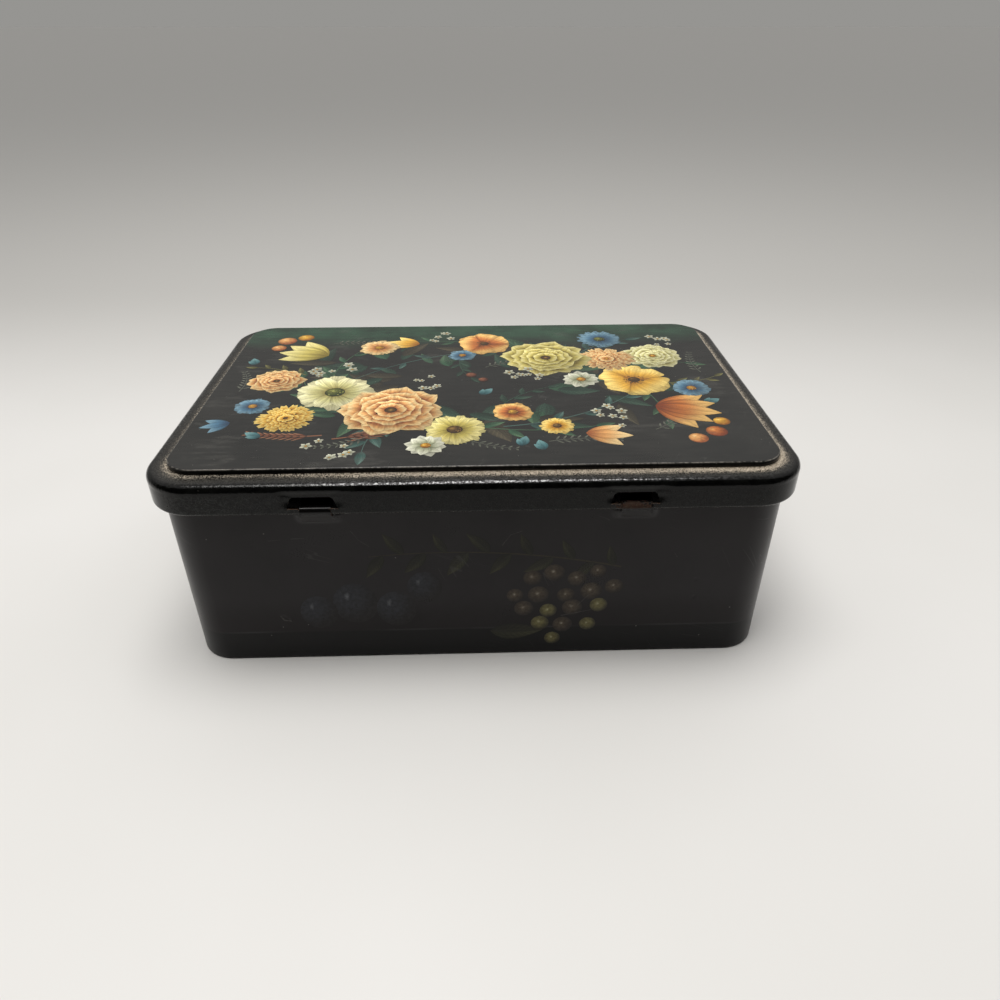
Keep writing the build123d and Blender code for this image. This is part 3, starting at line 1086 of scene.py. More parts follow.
# %% [markdown]
# ## Painting with patches
#
# The picture is a set of thin flat patches, one for each petal, leaf, stem or berry, laid on the varnished
# face as a printer lays one ink over another. A picture file would be quicker, but then the flowers would
# be someone's drawing and not ours, and it would blur when seen close. With patches every petal keeps a
# sharp edge.
#
# Each new patch goes one level above whatever it overlaps. A level is 2.5 thousandths of a millimetre, so
# even the deepest pile of petals stays within a quarter of a millimetre. Its points carry colours, which
# blend across it as wet paint does. Two maps go along: `petal` runs up and across each patch, for brush
# lines, with 2 added on leaves and 4 on round things. `OFBake` lays all patches side by side without
# overlap, so that the colours can be written to one sheet later.

# %% Painting with patches
def mix(a, b, t):
    return tuple(p + (q - p) * t for p, q in zip(a, b))


def shade(colour, amount):
    return tuple(c * amount for c in colour)


first_lift, level_lift = 0.004, 0.0025  # of the lowest patch, and from each level to the next
patch_gap = 0.25  # between patches on their flat map


class Print:
    """Patches of paint on one piece.

    A canvas is a function that turns a place in the picture and a lift into a point in millimetres.
    """

    def __init__(self):
        self.patches, self.taken = [], []

    def patch(self, canvas, picture, flat, paint, leafy=0.0):
        """Lays one grid of picture places, with the same grid of flat lengths and of colours."""
        us, vs = [p[0] for row in picture for p in row], [p[1] for row in picture for p in row]
        box = (min(us), max(us), min(vs), max(vs))
        under = [
            level for face, b, level in self.taken
            if face is canvas and b[0] < box[1] and box[0] < b[1] and b[2] < box[3] and box[2] < b[3]
        ]
        level = max(under, default=-1) + 1
        self.taken.append((canvas, box, level))
        lift = first_lift + level_lift * level
        self.patches.append((canvas, picture, flat, paint, leafy, lift))

    def shelves(self):
        """Places for all flat patches in one square, on shelves, the tallest first.

        Returns each patch's corner and the square's side.
        """
        sizes, gap = [], patch_gap
        for number, (_, _, flat, *_) in enumerate(self.patches):
            a, b = [p[0] for row in flat for p in row], [p[1] for row in flat for p in row]
            sizes.append((max(b) - min(b) + gap, max(a) - min(a) + gap, min(a), min(b), number))
        covered = sum(h * w for h, w, *_ in sizes)
        side, corners = sqrt(1.08 * covered) + 4.0, {}
        along = up = shelf = 0.0
        for h, w, low_a, low_b, number in sorted(sizes, reverse=True):
            if along + w > side:
                along, up, shelf = 0.0, up + shelf, 0.0
            corners[number] = (along + gap / 2 - low_a, up + gap / 2 - low_b)
            along, shelf = along + w, max(shelf, h)
        return corners, max(side, up + shelf)

    def make(self, name, finish):
        corners, side = self.shelves()
        points, faces, paints, petals, sheets = [], [], [], [], []
        for number, (canvas, picture, flat, paint, leafy, lift) in enumerate(self.patches):
            first, wide = len(points), len(picture[0])
            points += [canvas(u, v, lift) for row in picture for u, v in row]
            paints += [(*c, 1.0) for row in paint for c in row]
            here = [Vector(p) for p in points[first:]]
            out = Vector(canvas(*picture[0][0], 1.0)) - Vector(canvas(*picture[0][0], 0.0))
            middle = (len(picture) - 1) // 2 * wide + (wide - 1) // 2
            turned = (here[middle + 1] - here[middle]).cross(here[middle + wide] - here[middle]).dot(out) < 0
            da, db = corners[number]
            for r in range(len(picture) - 1):
                for c in range(wide - 1):
                    ring = [(r, c), (r, c + 1), (r + 1, c + 1), (r + 1, c)]
                    ring = ring[::-1] if turned else ring
                    faces.append([first + i * wide + j for i, j in ring])
                    for i, j in ring:
                        petals.append((i / (len(picture) - 1) + leafy, 2 * j / (wide - 1) + 3 * number))
                        sheets.append(((flat[i][j][0] + da) / side, (flat[i][j][1] + db) / side))
        mesh = bpy.data.meshes.new(name)
        mesh.from_pydata([(x * MM, y * MM, z * MM) for x, y, z in points], [], faces)
        for layer_name, places in (("petal", petals), ("OFBake", sheets)):
            mesh.uv_layers.new(name=layer_name).data.foreach_set("uv", [v for place in places for v in place])
        coat = mesh.color_attributes.new("paint", "FLOAT_COLOR", "POINT")
        coat.data.foreach_set("color", [v for p in paints for v in p])
        mesh.polygons.foreach_set("use_smooth", [True] * len(faces))
        mesh.materials.append(finish)
        thick = max(patch[-1] for patch in self.patches)
        print(f"{name}: {len(self.patches)} patches, {len(faces)} faces, {thick:.3f} mm thick")
        return stand(name, mesh)


print("a print can hold patches, each", level_lift, "mm above the one under it")

# %% [markdown]
# ## The five canvases
#
# The lid's picture fills the flat of the raised panel and stops at its rounded edge, so a petal that would
# stick out is pressed back onto that outline. The wall's picture runs over its four sides. A canvas is only
# a rule from a place in the picture to a place on the tin, so the same petals can be drawn on any of them.

# %% The five canvases
print_margin, print_corner = 9.3, 9.0  # from the skirt's face to the picture, and the picture's corners


def on_lid(u, v, lift):
    """The picture on the lid, seen from the hinges: u to the right, v away from them."""
    wide, deep, corner = lid_length / 2 - print_margin, lid_depth / 2 - print_margin, print_corner
    u, v = max(-wide, min(wide, u)), max(-deep, min(deep, v))
    beyond_u, beyond_v = abs(u) - wide + corner, abs(v) - deep + corner
    if beyond_u > 0 and beyond_v > 0 and hypot(beyond_u, beyond_v) > corner:
        pull = corner / hypot(beyond_u, beyond_v)
        u = (wide - corner + beyond_u * pull) * (1 if u > 0 else -1)
        v = (deep - corner + beyond_v * pull) * (1 if v > 0 else -1)
    return -u, -v, panel_top + lift


def on_back(u, v, lift):
    return -u, body_back + lift, v


def on_front(u, v, lift):
    return u, -body_back - lift, v


def on_left(u, v, lift):
    return -body_length / 2 - lift, -u, v


def on_right(u, v, lift):
    return body_length / 2 + lift, u, v


print("a corner of the lid's picture lands at", [round(v, 2) for v in on_lid(200, 200, 0)], "mm")

# %% [markdown]
# A petal is a grid that runs from its base to its tip. Its outline comes from two short rules, one for how
# wide it is along its length and one for how far each strip reaches, with a few ripples in the edge. The
# light falls from the upper left of the picture, so a petal that points there gets paler paint. Darker
# paint goes to its base, its edges and the fold along its middle. That is all a quick decorator's brush
# does too.

# %% Petals, leaves, stems and berries
chance = Random(21)
light_from = radians(125)  # the painted light, anticlockwise from the picture's right


class Brush:
    """Draws on one canvas of a print, in millimetres, with shades as (deep, middle, light) colours."""

    def __init__(self, art, canvas, glow=1.0):
        self.art, self.canvas, self.glow = art, canvas, glow

    def strokes(self, at, turn, local, paint, leafy=0.0):
        c, s = cos(turn), sin(turn)
        picture = [[(at[0] + c * a - s * b, at[1] + s * a + c * b) for a, b in row] for row in local]
        paint = [[shade(p, self.glow) for p in row] for row in paint]
        self.art.patch(self.canvas, picture, local, paint, leafy)

    def petal(self, at, turn, length, width, shades, pointed=False, bend=0.0, ripple=0.04,
              notch=0.0, hidden=0.0, fine=(9, 7)):
        """One petal. The hidden share at its base lies under others and isn't drawn."""
        deep, middle, light = shades
        rows, columns = fine
        phase, tint = chance.uniform(0, 6), chance.uniform(0.90, 1.10)
        lit = cos(turn - light_from)
        local, paint = [], []
        for i in range(rows):
            t = i / (rows - 1)
            s = hidden + (1 - hidden) * t
            line, tones = [], []
            for j in range(columns):
                b = 2 * j / (columns - 1) - 1
                if pointed:
                    across, reach = max(0.03, sin(pi * min(1.0, s**0.85)) ** 0.85), 1.0
                else:
                    across = 0.20 + 0.80 * sin(pi * 0.60 * s)
                    reach = 1 - 0.36 * abs(b) ** 2.4 - notch * max(0.0, 1 - abs(b) * 2.2)
                    reach += ripple * sin(5.1 * b + phase) * s + 0.6 * ripple * sin(11.0 * b - phase) * s * s
                along = length * s * (1 + (reach - 1) * s)
                line.append((along, b * width / 2 * across + bend * length * s * s))
                tone = mix(mix(deep, middle, smooth_step(t, 0.02, 0.50)), light, smooth_step(t, 0.40, 0.88))
                fold = 1 - 0.22 * max(0.0, 1 - abs(b) * 5)
                edge = 1 - 0.36 * smooth_step(abs(b), 0.74, 1.0) - 0.16 * smooth_step(t, 0.92, 1.0)
                side_light = 1 + 0.20 * lit * (0.4 + s) + 0.16 * b * sin(light_from - turn)
                tones.append(shade(tone, max(0.12, tint * fold * edge * side_light)))
            local.append(line)
            paint.append(tones)
        self.strokes(at, turn, local, paint)

    def leaf(self, at, turn, length, width, shades, bend=0.0):
        """A pointed leaf with a pale rib, and one half in shade."""
        deep, middle, light = shades
        tint = chance.uniform(0.8, 1.2)
        local, paint = [], []
        for i in range(10):
            s, line, tones = i / 9, [], []
            for j in range(7):
                b = j / 3 - 1
                across = max(0.03, sin(pi * s**0.75) ** 0.9) * (1 + 0.05 * sin(9 * s * pi) * (abs(b) > 0.9))
                line.append((length * s, b * width / 2 * across + bend * length * s * s))
                half_light = 0.75 if b * cos(turn) < 0 else 0.25
                tone = mix(mix(deep, middle, half_light), light, half_light * smooth_step(s, 0.25, 0.8) * 0.7)
                rib = 1 + 0.5 * (j == 3) * (1 - s)
                tones.append(shade(tone, tint * rib * (1 - 0.45 * smooth_step(abs(b), 0.6, 1.0))))
            local.append(line)
            paint.append(tones)
        self.strokes(at, turn, local, paint, leafy=2.0)

    def disc(self, at, radius, shades, squash=1.0, gleam=(-0.35, 0.38), sharp=0.32, fade=0.0):
        """A round berry or heart, with a pale spot of light and a rim that may fade into the ground."""
        deep, middle, light = shades
        local, paint = [], []
        for i in range(7):
            r = i / 6
            line, tones = [], []
            for j in range(17):
                a = 2 * pi * j / 16
                px, py = r * cos(a), r * sin(a)
                line.append((radius * px, radius * squash * py))
                far = hypot(px - gleam[0], py - gleam[1])
                tone = mix(deep, middle, 1 - smooth_step(far, 0.2, 1.35))
                tone = mix(tone, light, (1 - smooth_step(far, 0.0, sharp)) ** 1.5)
                tones.append(shade(tone, 1 - 0.45 * smooth_step(r, 0.75, 1.0) * (1 - fade)))
            local.append(line)
            paint.append(tones)
        self.strokes(at, 0.0, local, paint, leafy=4.0)

    def stem(self, start, turn, length, bend, shades, width):
        """A tapering line that turns by bend radians on its way. Returns places along it."""
        places, (u, v), angle = [], start, turn
        steps = max(6, int(length / 2.5))
        for i in range(steps + 1):
            places.append((u, v, angle, i / steps))
            angle += bend / steps
            u, v = u + cos(angle) * length / steps, v + sin(angle) * length / steps
        picture, flat, paint = [], [], []
        for u, v, angle, s in places:
            w = width * (1 - 0.6 * s) / 2
            picture.append([(u - sin(angle) * b * w, v + cos(angle) * b * w) for b in (-1, 0, 1)])
            flat.append([(s * length, b * w) for b in (-1, 0, 1)])
            paint.append([shade(mix(shades[0], shades[1 if b else 2], 0.6), self.glow) for b in (-1, 0, 1)])
        self.art.patch(self.canvas, picture, flat, paint)
        return places

    def spray(self, start, turn, length, bend, shades, size):
        """A stem with five leaves by turns on both sides and one at its tip."""
        slim, first, step, open_out = 0.42, 0.15, 0.16, 0.85
        places = self.stem(start, turn, length, bend, shades, 0.8)
        last = len(places) - 1
        for i in range(5):
            u, v, angle, s = places[min(last, int((first + i * step) * last))]
            side, grown = (1 if i % 2 else -1), size * (1 - 0.35 * s) * chance.uniform(0.85, 1.15)
            self.leaf((u, v), angle + side * open_out, grown, grown * slim, shades, bend=-side * 0.12)
        u, v, angle, _ = places[last]
        self.leaf((u, v), angle, size * 0.8, size * 0.8 * slim, shades)


print("brushes are ready; the painted light comes from", round(degrees(light_from)), "degrees")

# %% [markdown]
# ## Six kinds of flowers
#
# All flowers are rings of petals, from the outside in. A rose has a few broad ones that hide each other's
# bases. A daisy has one ring of narrow ones and a grainy heart. A dahlia has many rings of short points. A
# poppy has four crumpled cups, a bell is seen from the side, and stars are scattered in small groups as a
# filler.

# %% Six kinds of flowers
rose_rings = (  # petals, their length and width as shares of the radius, and their tone
    (8, 1.00, 0.86, 0.80), (7, 0.80, 0.78, 0.90), (6, 0.60, 0.68, 1.0), (5, 0.42, 0.54, 1.06),
    (4, 0.25, 0.40, 1.0),
)


def beside(at, angle, off):
    """The place so far off in a direction."""
    return at[0] + cos(angle) * off, at[1] + sin(angle) * off


def rose(brush, at, radius, shades, heart):
    turn = chance.uniform(0, 6)
    for ring, (count, reach, width, tone) in enumerate(rose_rings):
        covered = rose_rings[ring + 1][1] / reach * 0.86 if ring < len(rose_rings) - 1 else 0.2
        for i in range(count):
            angle = turn + ring * 0.7 + 2 * pi * (i + chance.uniform(-0.10, 0.10)) / count
            length = radius * reach * chance.uniform(0.94, 1.06)
            brush.petal(
                beside(at, angle, radius * 0.04), angle, length, radius * width,
                [shade(c, tone) for c in shades],
                ripple=0.045, notch=chance.choice((0.0, 0.05, 0.09)), hidden=covered, fine=(7, 9),
            )
    brush.disc(at, radius * 0.12, heart, gleam=(0, 0), sharp=0.5)


def pollen(brush, at, count, near, far, size, heart):
    """Small dots round a flower's middle."""
    for _ in range(count):
        angle, off = chance.uniform(0, 2 * pi), chance.uniform(near, far)
        brush.disc(beside(at, angle, off), size, heart, gleam=(0, 0), sharp=1.0)


def daisy(brush, at, radius, shades, heart, count, pointed=False):
    turn = chance.uniform(0, 6)
    for half_turn in (0, 1):
        for i in range(half_turn, count * 2, 2):
            angle = turn + pi * (i + chance.uniform(-0.15, 0.15)) / count
            length = radius * chance.uniform(0.90, 1.05) * (1 - 0.05 * half_turn)
            paints = [shade(c, 0.72 + 0.28 * half_turn) for c in shades]
            brush.petal(
                at, angle, length, radius * 4.6 / count, paints,
                pointed=pointed, notch=0.06, hidden=0.14,
            )
    brush.disc(at, radius * 0.24, heart, gleam=(-0.3, 0.3), sharp=0.7)
    pollen(brush, at, 14, radius * 0.063, radius * 0.21, radius * 0.035, heart)


def dahlia(brush, at, radius, shades, heart):
    turn, rings = chance.uniform(0, 6), 5
    for ring in range(rings):
        reach = 1 - ring / rings * 0.88
        count = max(6, int(19 * reach**0.6))
        for i in range(count):
            angle = turn + ring * 0.35 + 2 * pi * (i + chance.uniform(-0.2, 0.2)) / count
            length, width = radius * reach * chance.uniform(0.92, 1.05), radius * (0.16 + 0.17 * reach)
            brush.petal(
                at, angle, length, width, [shade(c, 0.82 + 0.07 * ring) for c in shades],
                ripple=0.02, notch=0.10, hidden=0.62 if ring < rings - 1 else 0.1, fine=(6, 5),
            )
    brush.disc(at, radius * 0.08, heart, gleam=(0, 0))


def poppy(brush, at, radius, shades, heart):
    turn = chance.uniform(0, 6)
    for ring, tone in ((0, 0.86), (1, 1.0)):
        for i in range(2 + ring):
            angle = turn + ring * 1.2 + 2 * pi * i / (2 + ring)
            paints = [shade(c, tone) for c in shades]
            brush.petal(
                at, angle, radius * (1 - 0.08 * ring), radius * 1.55, paints,
                ripple=0.06, notch=0.03, fine=(10, 13),
            )
    brush.disc(at, radius * 0.17, heart)
    pollen(brush, at, 22, radius * 0.19, radius * 0.30, radius * 0.028, heart)


def bell(brush, at, turn, length, shades, count, spread):
    order = sorted(range(count), key=lambda i: -abs(i - (count - 1) / 2))
    for i in order:
        side = (i - (count - 1) / 2) / max(1, (count - 1) / 2)
        brush.petal(
            at, turn + side * spread * 0.5, length * (1 - 0.12 * abs(side)), length * 0.42, shades,
            pointed=True, bend=0.22 * side, fine=(11, 7),
        )


def stars(brush, at, reach, count, size, shades, heart):
    for _ in range(count):
        angle, off = chance.uniform(0, 2 * pi), reach * sqrt(chance.random())
        middle = beside(at, angle, off)
        turn, grown = chance.uniform(0, 6), size * chance.uniform(0.7, 1.15)
        for i in range(5):
            brush.petal(middle, turn + 2 * pi * i / 5, grown, grown * 0.62, shades, ripple=0.0, fine=(5, 3))
        brush.disc(middle, grown * 0.2, heart, gleam=(0, 0))


print("rose, daisy, dahlia, poppy, bell and stars are ready")

# %% [markdown]
# ## The bouquet on the lid
#
# The lid gets a loose wreath: a heavy spray low on the left and another high on the right, joined by thin
# trailing stems with buds. The order of the calls is the order of the paint. Dim leaves go first, so that
# the flowers stand out of the dark, then the large flowers from the back to the front, and the small white
# ones last.

# %% The bouquet on the lid
yellow = ((0.20, 0.150, 0.022), (0.55, 0.46, 0.110), (0.78, 0.70, 0.29))
cream = ((0.26, 0.215, 0.055), (0.63, 0.60, 0.26), (0.82, 0.79, 0.47))
coral = ((0.30, 0.085, 0.024), (0.72, 0.36, 0.120), (0.90, 0.66, 0.32))
orange = ((0.19, 0.036, 0.009), (0.52, 0.165, 0.036), (0.84, 0.52, 0.170))
gold = ((0.28, 0.100, 0.008), (0.71, 0.39, 0.045), (0.90, 0.67, 0.20))
blue = ((0.020, 0.045, 0.090), (0.060, 0.150, 0.240), (0.16, 0.29, 0.38))
white = ((0.20, 0.22, 0.12), (0.50, 0.52, 0.38), (0.70, 0.71, 0.58))
rust_red = ((0.060, 0.016, 0.008), (0.20, 0.070, 0.035), (0.36, 0.18, 0.10))
leaf_green = ((0.010, 0.032, 0.018), (0.034, 0.092, 0.052), (0.110, 0.190, 0.105))
blue_green = ((0.010, 0.030, 0.026), (0.036, 0.088, 0.078), (0.120, 0.200, 0.175))
olive = ((0.026, 0.024, 0.006), (0.100, 0.094, 0.030), (0.25, 0.24, 0.095))
dim_green = ((0.009, 0.022, 0.015), (0.022, 0.052, 0.036), (0.050, 0.095, 0.066))
dim_brown = ((0.016, 0.014, 0.009), (0.042, 0.036, 0.022), (0.085, 0.074, 0.048))
teal = ((0.012, 0.040, 0.048), (0.040, 0.120, 0.135), (0.120, 0.250, 0.260))
pale_line = ((0.050, 0.055, 0.045), (0.110, 0.120, 0.095), (0.180, 0.190, 0.150))
dark_heart = ((0.030, 0.014, 0.004), (0.090, 0.045, 0.010), (0.30, 0.17, 0.04))
gold_heart = ((0.20, 0.075, 0.006), (0.48, 0.22, 0.015), (0.78, 0.48, 0.08))
green_heart = ((0.020, 0.028, 0.006), (0.090, 0.105, 0.020), (0.30, 0.30, 0.08))

print(len((yellow, cream, coral, orange, gold, blue, white, rust_red, teal)), "paints for flowers and buds")

# %% [markdown]
# The dim leaves come first and lie at random round an oval, pointing outwards. Sprays of greenery follow,
# then thin twigs with needles, pale lines and a few teal leaves.

# %% Leaves and twigs
bouquet = Print()
brush = Brush(bouquet, on_lid)
for i in range(84):
    around = chance.uniform(0, 2 * pi)
    far = chance.uniform(0.45, 1.25)
    at = (66 * far * cos(around), 33 * far * sin(around) - 2)
    size = chance.uniform(11, 21)
    shades = (dim_green, dim_brown, dim_green, leaf_green)[i % 4]
    turn, width = around + chance.uniform(-1.3, 1.3), size * chance.uniform(0.30, 0.55)
    brush.leaf(at, turn, size, width, shades, chance.uniform(-0.2, 0.2))
for start, turn, length, bend, shades, size in (
    ((-44, -30), 2.7, 48, -0.9, leaf_green, 12), ((-30, -30), -2.3, 30, 0.7, blue_green, 12),
    ((-14, -34), -0.5, 60, 0.75, leaf_green, 10), ((10, -40), 0.1, 74, 0.9, blue_green, 9),
    ((40, 22), 0.2, 52, -0.5, leaf_green, 12), ((46, 30), 1.0, 30, -0.7, blue_green, 11),
    ((28, 34), 2.6, 66, 0.65, leaf_green, 10), ((12, 36), 3.2, 74, 0.8, blue_green, 9),
    ((62, 4), -1.0, 42, -0.6, leaf_green, 10), ((-60, -2), 1.7, 44, -0.7, leaf_green, 10),
    ((-72, 10), 2.5, 24, 0.5, olive, 7), ((78, -2), -0.2, 24, 0.8, olive, 7),
    ((-6, 30), -1.9, 26, 0.9, dim_green, 8), ((8, -26), 1.2, 30, -0.8, dim_green, 8),
):
    brush.spray(start, turn, length, bend, shades, size)
for start, turn, length, bend in (
    ((-52, -48), 0.15, 26, 0.5), ((-46, -50), 0.4, 30, 0.5), ((-56, -45), 3.3, 26, -0.4),
):
    for u, v, angle, s in brush.stem(start, turn, length, bend, rust_red, 0.9)[2:]:
        for side in (1, -1):
            needle = 7.0 * (1 - 0.5 * s)
            brush.petal((u, v), angle + side * 0.5, needle, 1.1, rust_red, pointed=True, fine=(6, 3))
for start, turn, length, bend in (
    ((-6, -48), -0.7, 22, 0.5), ((-40, -47), -2.4, 18, -0.6), ((26, -52), 0.3, 26, -0.5),
    ((-96, -6), 1.3, 20, 0.7), ((96, 8), 1.9, 22, -0.6), ((-66, 46), 0.2, 26, -0.4),
    ((4, 16), 0.7, 18, -0.5), ((66, -44), 0.5, 18, 0.6),
):
    for u, v, angle, s in brush.stem(start, turn, length, bend, pale_line, 0.35)[1:]:
        for side in (-1, 1):
            needle = 3.6 * (1.1 - 0.6 * s)
            brush.petal((u, v), angle + side * 0.9, needle, 0.9, pale_line, pointed=True, fine=(5, 3))
for at, turn in (
    ((16, -55), 1.3), ((24, -58), 1.8), ((-78, -46), 2.6), ((90, -22), 0.5), ((-96, 22), 1.9),
    ((2, -12), 0.9),
):
    brush.petal(at, turn, 7.5, 4.2, teal, pointed=True)
    brush.petal(at, turn + 0.5, 5.5, 2.6, teal, pointed=True)
print("leaves and twigs:", len(bouquet.patches), "patches")

# %% [markdown]
# Now the flowers, each with its place in millimetres from the middle of the lid and its radius. What is
# named later lies on top, so the large ones come from the back of the bunch to the front.

# %% Flowers, stars and berries
bell(brush, (70, -24), -0.3, 25, orange, 5, 1.0)
bell(brush, (-66, 31), 2.75, 24, yellow, 4, 0.7)
bell(brush, (40, -46), -0.15, 17, coral, 3, 0.6)
bell(brush, (-26, 44), 2.9, 15, gold, 3, 0.6)
bell(brush, (-92, -34), 3.5, 11, blue, 3, 0.7)
poppy(brush, (4, 44), 12.5, orange, dark_heart)
rose(brush, (-83, 4), 11.5, coral, dark_heart)
daisy(brush, (58, 48), 11, blue, green_heart, 15)
rose(brush, (79, 27), 13, cream, gold_heart)
dahlia(brush, (-72, -31), 12, gold, dark_heart)
daisy(brush, (-57, -8), 17, cream, green_heart, 8)
poppy(brush, (66, 1), 15, gold, dark_heart)
dahlia(brush, (58, 24), 13.5, coral, gold_heart)
rose(brush, (31, 26), 19, yellow, dark_heart)
daisy(brush, (-8, -42), 12.5, yellow, dark_heart, 12)
rose(brush, (-33, -25), 20.5, coral, dark_heart)
daisy(brush, (14, -28), 8.5, orange, gold_heart, 6)
daisy(brush, (88, -8), 8.5, blue, gold_heart, 9)
daisy(brush, (-44, 40), 9.5, coral, gold_heart, 9)
daisy(brush, (44, 2), 8.5, white, gold_heart, 6, pointed=True)
daisy(brush, (-18, -54), 8, white, gold_heart, 6, pointed=True)
daisy(brush, (-87, -20), 7.5, blue, gold_heart, 8)
daisy(brush, (30, -40), 7, gold, dark_heart, 10)
daisy(brush, (-6, 30), 6.5, blue, gold_heart, 6)
stars(brush, (-62, 16), 9, 9, 2.5, white, gold_heart)
stars(brush, (20, 8), 8, 8, 2.4, white, gold_heart)
stars(brush, (-20, 0), 8, 6, 2.1, white, gold_heart)
stars(brush, (52, -32), 9, 8, 2.5, white, gold_heart)
stars(brush, (84, 45), 7, 6, 2.2, white, gold_heart)
stars(brush, (-52, -54), 9, 7, 2.2, white, gold_heart)
stars(brush, (-14, 52), 7, 6, 2.2, white, gold_heart)
for at, size, shades in (
    ((-88, 50), 4.4, coral), ((-80, 54), 3.8, gold), ((-90, 41), 3.4, coral), ((88, -46), 4.0, orange),
    ((80, -51), 3.6, coral), ((92, -38), 3.2, gold), ((-2, 8), 2.4, rust_red), ((3, 3), 2.1, rust_red),
):
    brush.disc(at, size, shades)
print("the whole bouquet:", len(bouquet.patches), "patches")

# %% [markdown]
# ## Fruit on the wall
#
# The wall's picture is nearly lost in the dark: a bunch of berries, a few plums and a twig, printed thin
# and low on the face. Their rims take the ground's own colour, so that only the lit side of each fruit
# comes forward. The other three walls carry the same kind of picture, and the short ones have less of it.

# %% Fruit on the wall
ground = (0.0120, 0.0100, 0.0108)
faint_gold = (ground, (0.165, 0.150, 0.062), (0.42, 0.40, 0.24))
faint_brown = (ground, (0.072, 0.055, 0.038), (0.27, 0.24, 0.19))
faint_blue = (ground, (0.024, 0.026, 0.034), (0.16, 0.17, 0.19))
faint_leaf = ((0.012, 0.011, 0.009), (0.024, 0.026, 0.014), (0.060, 0.058, 0.030))
faint_twig = ((0.014, 0.012, 0.009), (0.035, 0.028, 0.016), (0.060, 0.050, 0.030))

bunch = (  # across, up, radius and whether it is ripe
    (-11.5, 3.0, 3.5, 0), (-3.5, 6.0, 3.9, 0), (4.5, 2.6, 3.6, 0), (13.0, 6.2, 3.1, 0),
    (18.5, -1.2, 3.5, 0), (-17.5, -4.0, 3.2, 0), (-8.0, -4.2, 4.0, 0), (1.0, -4.6, 3.4, 0),
    (10.0, -3.2, 4.1, 0), (-13.5, -11.4, 3.7, 0), (-4.6, -12.2, 3.3, 1), (4.8, -11.8, 3.9, 0),
    (14.2, -10.4, 3.4, 1), (-8.4, -19.0, 3.5, 1), (0.8, -19.8, 3.8, 0), (9.6, -18.4, 3.2, 1),
    (-2.6, -26.4, 3.1, 1),
)
fruit = Print()
for canvas, wide, shift, bright in (
    (on_back, 1.0, 0.0, 1.0), (on_front, -1.0, 4.0, 0.9),
    (on_left, 0.55, 0.0, 0.9), (on_right, -0.55, 0.0, 0.9),
):
    brush = Brush(fruit, canvas, bright)
    flip = 1 if wide > 0 else -1
    reach_out = abs(wide)
    for at, radius in (((-46, 27), 8.5), ((-31, 24), 7.5), ((-60, 23), 7.0), ((-20, 34), 6.5)):
        place = (flip * reach_out * at[0] + shift, at[1])
        brush.disc(place, radius, faint_blue, squash=1.12, gleam=(-0.3, 0.35), sharp=0.16, fade=1.0)
    twig_turn = pi - 0.25 if flip > 0 else 0.25
    twig_start = (flip * reach_out * 52 + shift, 42)
    twig = brush.stem(twig_start, twig_turn, 92 * reach_out, 0.35 * flip, faint_twig, 0.8)
    for i, (u, v, angle, _) in enumerate(twig[1:]):
        if i % 3 == 0:
            size, turn = chance.uniform(9, 13), angle + (0.9 if i % 2 else -0.9)
            brush.leaf((u, v), turn, size, size * 0.4, faint_leaf, chance.uniform(-0.2, 0.2))
    low_turn = -0.1 if flip > 0 else pi + 0.1
    brush.leaf((flip * reach_out * 4 + shift, 12), low_turn, 20 * sqrt(reach_out), 8, faint_leaf, 0.1)
    for across, up, radius, ripe in bunch:
        if abs(across) < 20 * reach_out:
            u = flip * (reach_out * 31 + across) + shift + chance.uniform(-0.9, 0.9)
            v = 34 + up + chance.uniform(-0.9, 0.9)
            shades = faint_gold if ripe else faint_brown
            brush.disc((u, v), radius, shades, gleam=(-0.12, 0.15), sharp=0.28, fade=1.0)
print("fruit on four sides:", len(fruit.patches), "patches")

# %% [markdown]
# ## Ink under the varnish
#
# The print has the same varnish as the face around it, so gloss, waves and scratches run across it
# unbroken. Only the colour changes: it comes from the points, with brush lines along each petal, fine veins
# on each leaf and the slight grain of a worn print.

# %% Ink under the varnish
def ink(name, face_of):
    """The print's colours, under the same varnish as the face that it lies on."""
    f = Finish(name)
    place = f.place()
    spot = place[0]
    paint = f.node("ShaderNodeVertexColor", {"layer_name": "paint"})
    petal = f.node("ShaderNodeUVMap", {"uv_map": "petal"})
    along, turned = (f.node("ShaderNodeSeparateXYZ", {}, {0: petal}, out=axis) for axis in ("X", "Y"))
    third = turned / 3.0
    across = abs(third.sum("FRACT", third) * 3.0 - 1.0)
    leafy, rounded = along.rises(1.6, 1.7) * along.rises(3.6, 3.5), along.rises(3.5, 3.6)
    streaks = f.noise(f.stretch(petal, 1.5, 8.0, 1.0), 1000.0, 2.0)
    hairs = streaks * (1.0 - rounded) + rounded * f.noise(spot, 1.4, 3.0)
    grain = f.noise(spot, 0.42, 2.0)
    tone = f.colour((0.62, 0.58, 0.55), (1.20, 1.20, 1.18), (hairs * 0.75 + grain * 0.35).rises(0.33, 0.75))
    base = f.tinted(paint, tone)
    turn = along * 9.0 - across * 1.8
    veins = abs(turn.sum("FRACT", turn) - 0.5).rises(0.13, 0.0) * leafy * across.rises(0.05, 0.3)
    base = f.colour(base, f.tinted(base, (2.2, 2.1, 1.9)), veins * 0.6)
    return face_of(f, base, place)


printed_lid = ink("ink_on_lid", lid_face)
printed_wall = ink("ink_on_wall", wall_face)
lid_print = bouquet.make("lid_print", printed_lid)
wall_print = fruit.make("wall_print", printed_wall)
for piece, body, slot in ((lid_print, "lid", "lid_tin"), (wall_print, "box", "body_tin")):
    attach(piece, body)

